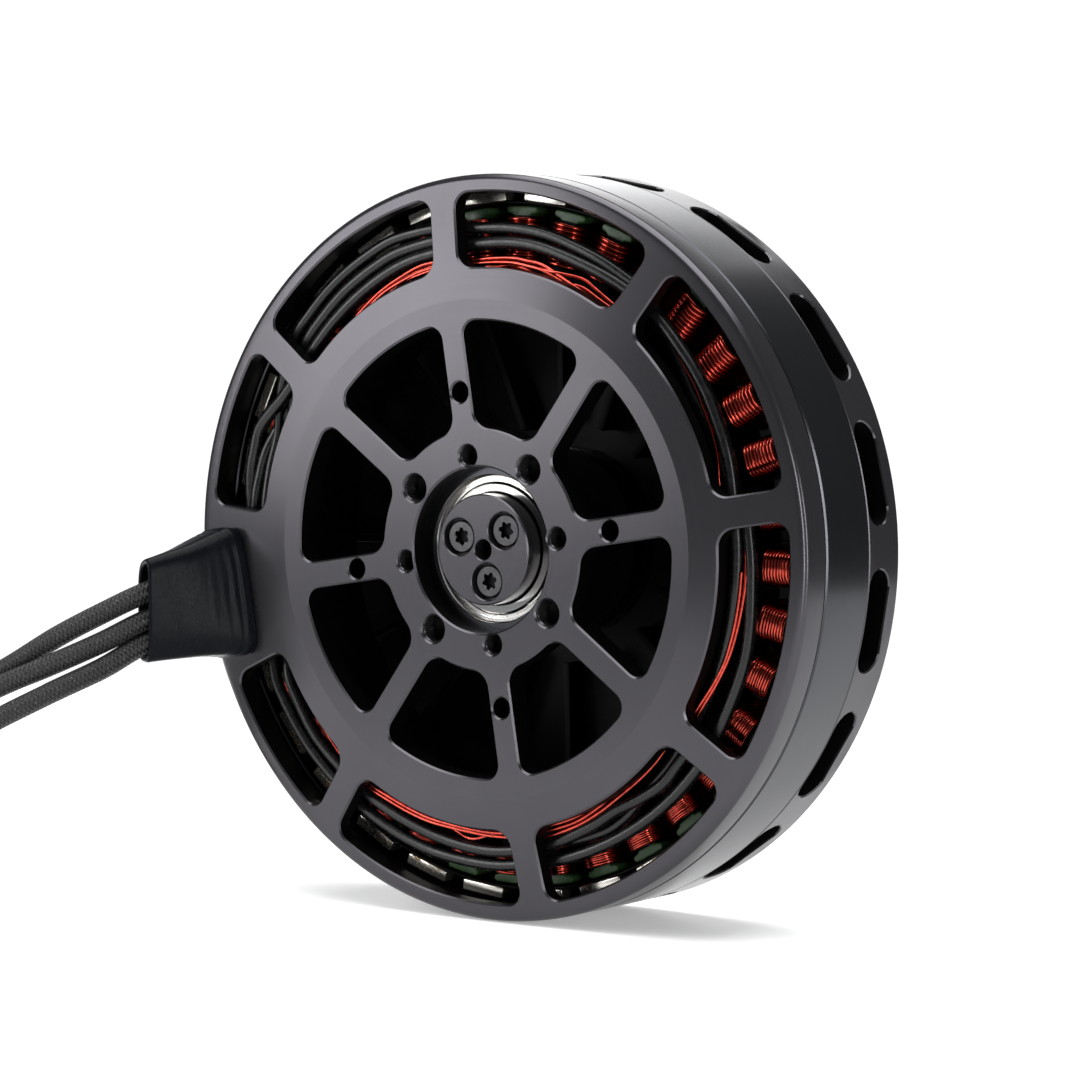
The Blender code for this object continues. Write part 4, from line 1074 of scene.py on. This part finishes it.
def screw_head(place, recess):
    """A cap screw's head, from its top at the place to its shank along the place's +Y."""
    part = Shell()
    pocket = star(recess) if recess == CAP_RECESS else circle(recess, 6)
    places = [flat_place(y) for y in (0.0, 0.00012, 0.0024)]
    whole = circle(SCREW_HEAD, SCREW_STEPS)
    front, back = drilled(
        part, circle(SCREW_HEAD - 0.0003, SCREW_STEPS), [], [(pocket, flat_floor(pocket, 0.0014))], places,
        0.00012, back_outer=whole,
    )
    side = part.ring([(u, 0.0003, v) for u, v in whole])
    part.strips(front, side, back)
    made = Shell()
    made.add(part, place)
    return made


def in_recess(top, radius, way):
    """A test for the faces inside a screw's recess, which get the near-black of painted shade."""

    def test(face):
        middle = face.calc_center_median() - top
        return math.hypot(middle.x, middle.z) < radius * 1.02 and middle.y * way > 0.0002

    return test


def make_screws(metal, dark):
    for k in range(CAP_SCREWS):
        spot = polar(CAP_SCREW_CIRCLE, cap_screw_angle(k), CAP_SPAN[0] + SCREW_SUNK)
        turn = Matrix.Rotation(math.radians(18 * k + 8), 4, "Y")
        make_screw(f"star_screw_{k + 1}", f"cap_screw_{k + 1}", spot, turn, CAP_RECESS, 1, metal, dark)
    for k in range(HUB_SCREWS):
        spot = polar(HUB_SCREW_CIRCLE, hub_screw_angle(k), BOSS_BACK - 0.0001)
        turn = Matrix.Rotation(math.pi, 4, "Z")
        make_screw(f"hex_screw_{k + 1}", f"hub_screw_{k + 1}", spot, turn, HUB_RECESS, -1, metal, dark)


def make_screw(name, node, spot, turn, recess, way, metal, dark):
    shell = screw_head(Matrix.Translation(spot) @ turn, recess)
    # The recess's inside gets a painted shade.
    shade_lining = (dark, in_recess(spot, recess, way))
    piece(name, shell, metal, "rotor", [node], "black_oxide", shade_lining=shade_lining)


# ---- stator and windings


def tooth_outline(angle):
    """One tooth, with a wide rounded shoe at its tip."""
    foot = math.asin(TOOTH_WIDTH / 2 / YOKE_OUTER)
    neck = math.asin(TOOTH_WIDTH / 2 / TOOTH_SHOE)
    half = [
        (YOKE_OUTER, foot), (TOOTH_SHOE - 0.0004, neck), (TOOTH_SHOE, neck + 0.006),
        (TOOTH_SHOE + 0.0003, SHOE_HALF - 0.004), (TOOTH_SHOE + 0.0007, SHOE_HALF),
        (TOOTH_TIP - 0.0005, SHOE_HALF), (TOOTH_TIP, SHOE_HALF - 0.006), (TOOTH_TIP, 0.018),
    ]
    low = [on_circle(radius, angle - turn) for radius, turn in half]
    high = [on_circle(radius, angle + turn) for radius, turn in half[::-1]]
    return [*low, on_circle(TOOTH_TIP, angle), *high]


def make_stator(epoxy, dark):
    outline = []
    for i in range(TOOTH_COUNT):
        outline += tooth_outline(TOOTH_START + math.tau * i / TOOTH_COUNT)
    shell = Shell()
    slab(shell, outline, [circle(YOKE_INNER, TURN_STEPS)], *STACK, 0.00035, 3)
    nodes = [f"stator_segment_{k + 1}" for k in range(6)]

    # Painted shade: the yoke and the teeth's necks, under the coils, get the near-black instead of green
    # epoxy; only the shoes stay green.
    def under_coil(face):
        middle = face.calc_center_median()
        return math.hypot(middle.x, middle.z) < TOOTH_SHOE - 0.0012

    shade_lining = (dark, under_coil)
    piece("stator_stack", shell, epoxy, "stator_side", nodes, "green_epoxy", sharp=50.0, shade_lining=shade_lining)


def squircle(turn, width, height, power):
    """A point on a rounded frame at this turn."""
    c, s = math.cos(turn), math.sin(turn)
    return width * math.copysign(abs(c) ** power, c), height * math.copysign(abs(s) ** power, s)


def coil_route(angle, layer):
    """A winding round one tooth: turns side by side outwards, from front to back."""
    middle = (COIL_FRONT + COIL_BACK) / 2
    width = COIL_HALF - WIRE_RADIUS - 0.0009 * layer
    height = (COIL_BACK - COIL_FRONT) / 2 - WIRE_RADIUS - 0.0008 * layer
    inner = COIL_RADII[0] + WIRE_RADIUS * (1 + layer) - COIL_SHIFT * math.sin(angle)
    outer = COIL_RADII[1] - WIRE_RADIUS * (1 + layer)
    turns = TURNS - layer
    tangent = polar(1.0, angle + math.pi / 2)
    jitter = [[RANDOM.uniform(-1, 1) for _ in range(3)] for _ in range(turns + 1)]
    found = []
    for i in range(COIL_STEPS * turns + 1):
        turn, step = divmod(i, COIL_STEPS)
        now, after = jitter[turn], jitter[min(turn + 1, turns)]
        a, b, c = (p + (q - p) * step / COIL_STEPS for p, q in zip(now, after))
        u, v = squircle(math.tau * i / COIL_STEPS, width + 0.00010 * a, height + 0.00012 * b, 0.66)
        radius = inner + (outer - inner) * i / (COIL_STEPS * turns) + 0.00012 * c
        found.append(polar(radius, angle, middle + v) + tangent * u)
    return found


def make_coils(wire):
    pitch = math.tau / TOOTH_COUNT
    for k in range(TOOTH_COUNT // 2):
        shell = Shell()
        for side in (0, 1):
            angle = TOOTH_START + pitch * (2 * k + side)
            for layer in (0, 1):
                shell.tube(coil_route(angle, layer), WIRE_RADIUS, WINDING_SIDES)
        middle = TOOTH_START + pitch * (2 * k + 0.5)
        bow = [(middle + pitch * t / 2, 0.0291 + 0.0005 * (1 - t * t)) for t in (-1, -0.5, 0, 0.5, 1)]
        crossover = [polar(0.0682, turn, depth) for turn, depth in bow]
        shell.tube(crossover, WIRE_RADIUS, WINDING_SIDES)
        nodes = [f"coil_pair_{k + 1:02d}"]
        piece(f"winding_{k + 1:02d}", shell, wire, "stator_side", nodes, "copper_enamel", 60.0)


def behind_face(knots, thickness, shift=0.0):
    """A route behind the face plate with a point about every 5 degrees.

    A knot is (degrees, radius, and any extra depth), in millimetres. shift moves the route outwards.
    """
    knots = [(degrees, radius * MM + shift, sum(extra) * MM) for degrees, radius, *extra in knots]
    found = []
    for (first, r0, e0), (last, r1, e1) in zip(knots, knots[1:]):
        count = max(1, round(abs(last - first) / 5.0))
        for i in range(count):
            t = i / count
            ease = t * t * (3 - 2 * t)
            radius = r0 + (r1 - r0) * ease
            depth = cone_y(radius) + PLATE_THICKNESS + thickness / 2 + 0.0002 + e0 + (e1 - e0) * ease
            found.append(polar(radius, math.radians(first + (last - first) * t), depth))
    return found + [found[-1].lerp(found[-2], -1.0)]


# Each sleeved wire: its thickness, where a phase wire leaves the lead exit, and its knots behind the face,
# which are (degrees, radius, and any extra depth). Lengths are millimetres.
HARNESS = {
    "phase_sleeve_a": (3.1, [(-71.4, 2.2, -6.5), (-71.4, 6.0, -5.8)], [
        (176, 71.6, 0.4), (168, 72.9), (160, 73.1), (152, 69.2), (145, 67.7), (128, 68.0), (114, 68.2),
        (100, 67.4), (84, 67.9), (70, 67.1), (56, 67.2, 0.3), (38, 66.2, 0.2), (21, 65.2), (9, 63.8),
        (-6, 63.6), (-16, 63.4, 0.6), (-24, 62.2, 2.6),
    ]),
    "phase_sleeve_b": (2.6, [(-71.2, 2.2, -12.5), (-71.0, 6.0, -12.0), (-68.4, 8.0, -9.8)], [
        (181, 67.0, 0.6), (172, 67.2, 0.6), (160, 68.4, 2.0), (151, 71.6, 1.2), (141, 74.4, 0.2),
        (128, 74.7), (114, 74.6), (104, 73.0), (95, 71.2), (84, 71.0), (67, 69.8), (56, 69.0, 0.6),
        (47, 65.0, 2.4), (36, 61.8, 3.0), (9, 61.6, 3.0),
    ]),
    "phase_sleeve_c": (2.8, [(-70.6, 2.2, -18.5), (-70.0, 6.0, -18.7)], [
        (199, 70.0, 0.6), (208, 72.2), (220, 72.4), (234, 72.1), (250, 71.9), (266, 71.1), (279, 70.4),
        (296, 70.2), (312, 70.2), (322, 70.0), (331, 69.2), (343, 68.8), (355, 67.4), (366, 66.8),
        (373, 66.8),
    ]),
    "harness_sleeve_1": (2.9, [], [
        (178, 63.6, 4.4), (160, 64.6, 3.4), (150, 68.4, 1.8), (140, 70.8, 0.2), (128, 71.3), (114, 71.3),
        (104, 70.2), (95, 68.0, 2.0),
    ]),
    "harness_sleeve_2": (2.9, [], [
        (199, 65.5, 3.0), (208, 68.4, 0.6), (220, 69.0), (234, 68.4), (250, 67.9), (266, 67.9),
        (279, 67.1), (290, 65.6), (300, 64.6), (312, 66.4), (322, 65.0, 1.2),
    ]),
    "harness_sleeve_3": (2.7, [], [
        (281, 66.4, 2.0), (296, 67.4, 2.0), (310, 64.0, 3.0), (326, 62.2, 3.0), (366, 61.4, 3.0),
    ]),
    "harness_sleeve_4": (2.9, [], [
        (190, 69.6, 0.2), (180, 70.0), (172, 70.1), (164, 69.9, 0.8), (156, 68.8, 3.0), (148, 66.8, 3.4),
    ]),
}

# Bundles of loose enamelled wires at the windows' inner edges: how many, their spacing, how far each strays
# from the knots in half millimetres, and the knots.
BUNDLES = [
    (2, 1.0, 0.4, [(141, 62.6), (128, 64.1), (119, 65.2), (108, 65.7), (97, 64.8)]),
    (2, 1.2, 1.6, [(124, 64.0, 0.6), (114, 64.8, 0.4), (104, 64.4), (96, 64.0)]),
    (2, 0.9, 0.6, [(97, 64.0), (86, 64.5), (78, 64.0), (72, 62.6), (66, 61.2)]),
    (3, 1.1, 1.8, [(92, 62.6), (84, 63.8, 0.6), (76, 63.2), (68, 63.6, 0.2), (60, 62.0)]),
    (3, 1.0, 0.5, [(234, 66.5), (248, 65.6), (263, 64.3), (279, 64.4)]),
    (3, 1.1, 1.8, [(256, 63.6), (264, 65.2, 0.4), (271, 64.0), (279, 64.8)]),
    (5, 1.0, 0.6, [(279, 65.0), (291, 64.1), (303, 62.8), (314, 62.2), (323, 61.4)]),
    (1, 0.0, 0.5, [(364, 66.4), (354, 66.4), (342, 65.5), (330, 64.0), (324, 63.2)]),
    (1, 0.0, 0.5, [(358, 65.5), (348, 65.2), (340, 64.6), (330, 63.2), (324, 62.2)]),
    (1, 0.0, 0.5, [(52, 65.6, 2.6), (40, 64.2, 2.2), (26, 62.8, 2.2), (12, 60.6, 2.0)]),
    (2, 1.0, 0.8, [(232, 66.2), (222, 65.0), (212, 64.0, 1.2)]),
]
STRAND = 0.0008


def make_harness(rubber, wire):
    for name, (thickness, entry, knots) in HARNESS.items():
        points = [metres(point) for point in entry] + behind_face(knots, thickness * MM)
        shell = Shell()
        shell.tube(smooth_route(points, 0.0016), thickness * MM / 2, SLEEVE_SIDES)
        nodes = [name.replace("sleeve", "wire")] if name.startswith("phase") else ()
        piece(name, shell, rubber, "stator_side", nodes, "black_rubber", 60.0)
    for i, (count, spread, wander, knots) in enumerate(BUNDLES):
        shell = Shell()
        for k in range(count):
            strayed = []
            for degrees, radius, *extra in knots:
                radius += wander * RANDOM.uniform(-0.5, 0.5)
                strayed.append((degrees, radius, *extra, wander * RANDOM.uniform(0.0, 0.7)))
            points = behind_face(strayed, STRAND, -spread * MM * k)
            shell.tube(smooth_route(points, 0.0014), STRAND / 2, STRAND_SIDES)
        piece(f"loose_wires_{i + 1}", shell, wire, "stator_side", (), "copper_enamel", 60.0)


# ---- rotor


def rounded_block(half, low, high, edge):
    """A block with rounded edges: half its width along x, and between two (y, z) corners."""
    block = Shell()
    bmesh.ops.create_cube(block.bm, size=1.0)
    for vert in block.bm.verts:
        x, y, z = vert.co
        ahead, outwards = [a + (share + 0.5) * (b - a) for share, a, b in zip((y, z), low, high)]
        vert.co = (x * 2 * half, ahead, outwards)
    bmesh.ops.bevel(block.bm, geom=block.bm.edges, offset=edge, segments=3, profile=0.5, affect="EDGES")
    return block


def outward_matrix(angle):
    """Block directions to the motor's: along the tangent, along the axis, outwards."""
    rows = polar(1.0, angle + math.pi / 2), Vector((0.0, 1.0, 0.0)), polar(1.0, angle)
    return Matrix(rows).transposed().to_4x4()


def make_magnets(plate, steel, dark):
    low, high = zip(MAGNET_SPAN, MAGNET_RADII)
    shell = Shell()
    for i in range(MAGNET_COUNT):
        place = outward_matrix(MAGNET_START + math.tau * i / MAGNET_COUNT)
        shell.add(rounded_block(MAGNET_WIDTH / 2, low, high, 0.00035), place)
    piece("magnets", shell, plate, "rotor", ["magnet_ring"], "nickel_plate", 50.0)

    # A thin ring of the near-black lies on the magnets' inner faces: a dark sheet painted where there is
    # only shade.
    inner, outer = MAGNET_RADII[0] - 0.0003, MAGNET_RADII[0] - 0.00005
    low, high = MAGNET_SPAN[0] + 0.0004, MAGNET_SPAN[1]
    sleeve = [(inner, low), (outer, low), (outer, high), (inner, high)]
    turned_piece("magnet_shade_sheet", sleeve, dark, "rotor", (), "black_rubber")

    low, high = FLUX_RING
    ring = [
        (FLUX_INNER + 0.0003, low), (RIM_RADIUS - 0.00035, low), (RIM_RADIUS, low + 0.00035),
        (RIM_RADIUS, high - 0.0002), (RIM_RADIUS - 0.0002, high), (FLUX_INNER + 0.0002, high),
        (FLUX_INNER, high - 0.0002), (FLUX_INNER, low + 0.0003),
    ]
    turned_piece("outer_flux_ring", ring, steel, "rotor", ["flux_ring"], "black_steel", sharp=20.0)


def stadium(length, width, steps=10):
    half = (length - width) / 2
    points = []
    for side in (1, -1):
        for i in range(steps + 1):
            turn = math.pi * (i / steps - 0.5)
            points.append((side * (half + width / 2 * math.cos(turn)), side * width / 2 * math.sin(turn)))
    return points


def make_bell(metal, shade_lining):
    """The bell: a slotted wall, a back plate with a boss, and vanes inside."""
    shell = Shell()
    sector = math.tau / SLOT_COUNT
    columns = TURN_STEPS // SLOT_COUNT
    low, high = BELL[0] + 0.0002, BELL[1] - 0.0003
    wall = RIM_RADIUS - BELL_WALL
    half = sector * RIM_RADIUS / 2
    frame_low = [(-half + 2 * half * i / columns, low) for i in range(columns + 1)]
    frame_high = [(u, high) for u, _ in frame_low[::-1]]
    sides = 5
    right = [(half, low + (high - low) * i / sides) for i in range(1, sides)]
    left = [(-half, high + (low - high) * i / sides) for i in range(1, sides)]
    outline = frame_low + right + frame_high + left
    slot = [(u, SLOT_CENTRE + v) for u, v in stadium(SLOT_LENGTH, SLOT_WIDTH)]
    guide = [(u, y) for u, _ in frame_low[1:-1] for y in (low + 0.0004, high - 0.0010)]
    for s in range(SLOT_COUNT):
        turn = SLOT_START + sector * s
        places = [
            lambda u, v, r=r, t=turn: polar(r, t + u / RIM_RADIUS, v)
            for r in (RIM_RADIUS, RIM_RADIUS - 0.0003, wall)
        ]
        drilled(shell, outline, [slot], [], places, 0.0003, guide)
    turns = [SLOT_START - sector / 2 + math.tau * i / TURN_STEPS for i in range(TURN_STEPS)]

    def ring(radius, y):
        return shell.ring([polar(radius, t, y) for t in turns])

    shell.strips(*[ring(r, y) for r, y in (
        (wall, low), (wall, BELL[0] + 0.0001), (wall + 0.0002, BELL[0]), (RIM_RADIUS - 0.0002, BELL[0]),
        (RIM_RADIUS, low),
    )])
    shell.strips(*[ring(r, y) for r, y in (
        (RIM_RADIUS, high), (RIM_RADIUS - 0.0003, BELL[1]), (0.0790, BELL[1]), (0.0788, BELL[1] - 0.0002),
        (0.0782, BELL[1] - 0.0002), (0.0780, BELL[1]), (BOSS_RADIUS + 0.0012, BELL[1]),
        (BOSS_RADIUS + 0.0005, BELL[1] + 0.0002), (BOSS_RADIUS + 0.0001, BELL[1] + 0.0008),
        (BOSS_RADIUS, BOSS_BACK - 0.0005), (BOSS_RADIUS - 0.0005, BOSS_BACK),
    )])
    shell.strips(ring(wall, high), ring(wall, BELL_PLATE), ring(BELL_BORE, BELL_PLATE))
    holes = []
    for k in range(HUB_SCREWS):
        centre = on_circle(PROP_HOLES[0], math.tau * k / HUB_SCREWS)
        close = threaded(centre, PROP_HOLES[1], BOSS_BACK - 0.0003, PROP_HOLE_FLOOR)
        holes.append((circle(PROP_HOLES[1], HOLE_STEPS, centre), close))
        pocket = circle(COUNTERBORE, SCREW_STEPS, on_circle(HUB_SCREW_CIRCLE, hub_screw_angle(k)))
        holes.append((pocket, flat_floor(pocket, BOSS_BACK - POCKET_DEPTH)))
    places = [flat_place(y) for y in (BOSS_BACK, BOSS_BACK - 0.0003, BELL_PLATE + 0.0001)]
    radii = (BOSS_RADIUS - 0.0005, BELL_BORE, BOSS_RADIUS)
    rim, bore, root = ([on_circle(radius, t) for t in turns] for radius in radii)
    drilled(shell, rim, [bore], holes, places, 0.0003, back_outer=root)
    bmesh.ops.remove_doubles(shell.bm, verts=shell.bm.verts, dist=2e-7)
    for i in range(SLOT_COUNT):
        angle = SLOT_START + sector * (i + 0.5)
        low, high = (VANE_FRONT, VANE_RADII[0]), (BELL_PLATE + 0.0005, VANE_RADII[1])
        shell.add(rounded_block(VANE_WIDTH / 2, low, high, 0.0003), outward_matrix(angle))

    # Painted shade: the bell's inside faces, its inner wall, vanes and the plate's inner face, get the
    # near-black.
    def inside_bell(face):
        middle = face.calc_center_median()
        return middle.y < BELL[1] - 0.0012 and math.hypot(middle.x, middle.z) < RIM_RADIUS - 0.0004

    nodes = ["rotor_bell", "bell_ring"]
    piece("rotor_shell", shell, metal, "rotor", nodes, "anodised_grey", 24.0, shade_lining=(shade_lining, inside_bell))


# ---- boot


def make_boot(rubber):
    """A shrunk sleeve over the lead exit: wrinkled at its root on the face, and folded at its far lip."""
    root = polar(BOOT_ROOT_RADIUS, BOOT_ROOT_ANGLE)
    root_across, root_up = polar(1.0, BOOT_ROOT_ANGLE), polar(1.0, BOOT_ROOT_ANGLE - math.pi / 2)
    mouth_across = Vector((BOOT_DIRECTION.y, -BOOT_DIRECTION.x, 0.0))
    sides, stations = 72, 44

    def ring(share, inset, lip=0.0):
        centre = root.lerp(BOOT_MOUTH, share) + BOOT_DIRECTION * lip
        across = root_across.lerp(mouth_across, share).normalized()
        up = root_up.lerp(UP, share).normalized()
        width = BOOT_ROOT_SIZE[0] * (1 - share) + BOOT_MOUTH_SIZE[0] * share - 2 * inset
        height = BOOT_ROOT_SIZE[1] * (1 - share) + BOOT_MOUTH_SIZE[1] * share - 2 * inset
        points = []
        for i in range(sides):
            turn = math.tau * i / sides
            u, v = squircle(turn, width / 2, height / 2, 0.46)
            far = max(0.0, u / width + 0.5)
            if v > 0:
                v -= 0.0026 * far**2 * share**2 * (v / height * 2)
            fold = math.sin(share * 58 + 1.3 * math.sin(2 * turn + 0.6)) * math.exp(-share * 9.0)
            crease = math.sin(3 * turn + share * 9.0 + 0.8) * (0.35 + 0.65 * (1 - share))
            waist = math.sin(math.pi * share) * abs(math.sin(turn))
            swell = 0.00022 * fold + 0.00008 * crease - 0.0005 * waist
            length = math.hypot(u, v) or 1.0
            points.append(centre + across * (u + swell * u / length) + up * (v + swell * v / length))
        if share == 0:
            for point in points:
                point.y = cone_y(math.hypot(point.x, point.z)) - 0.0002
        return points

    shell = Shell()
    rings = [ring(i / stations, 0.0) for i in range(stations + 1)]
    rings += [ring(1.0, 0.0001, 0.0003), ring(1.0, 0.0005, 0.00045), ring(1.0, 0.0010, 0.0003)]
    rings += [ring(1.0 - i / 20, 0.0012) for i in range(21)]
    made = [shell.ring(points) for points in rings]
    shell.strips(*made, made[0])
    piece("lead_boot", shell, rubber, "stator_side", ["cable_boot"], "black_rubber", 60.0)


def make_carried(steel, bright):
    """CAD nodes that keep their shape, hidden inside the hub, get their metal."""
    metals = {"race_spacer": steel, "shaft": steel}
    for side in ("front", "rear"):
        for part in ("inner_race", "outer_race", "shield", "balls"):
            metals[f"{side}_bearing_{part}"] = bright
    for name, metal in metals.items():
        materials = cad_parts[name].data.materials
        materials.clear()
        materials.append(metal)


def main():
    make_camera()
    make_stage()
    make_leads()
    metal = anodised()
    steel = dark_steel()
    bright = bearing_steel()
    screws = screw_steel()
    rubber = sleeve_rubber()
    wire = enamel()
    # A near-black anodising that paints shade on faces inside and behind the parts, where the light doesn't
    # reach.
    shade_lining = anodised("painted_shade_black", 0.0025, 0.5)
    make_base(metal, shade_lining)
    make_circlip(steel)
    make_bearing(bright, bearing_steel("shield_steel", 0.16))
    make_cap(metal)
    make_screws(screws, shade_lining)
    make_stator(epoxy_green(), shade_lining)
    make_coils(wire)
    make_harness(rubber, wire)
    make_magnets(nickel(), steel, shade_lining)
    make_bell(metal, shade_lining)
    make_boot(boot_rubber())
    make_carried(steel, bright)


main()
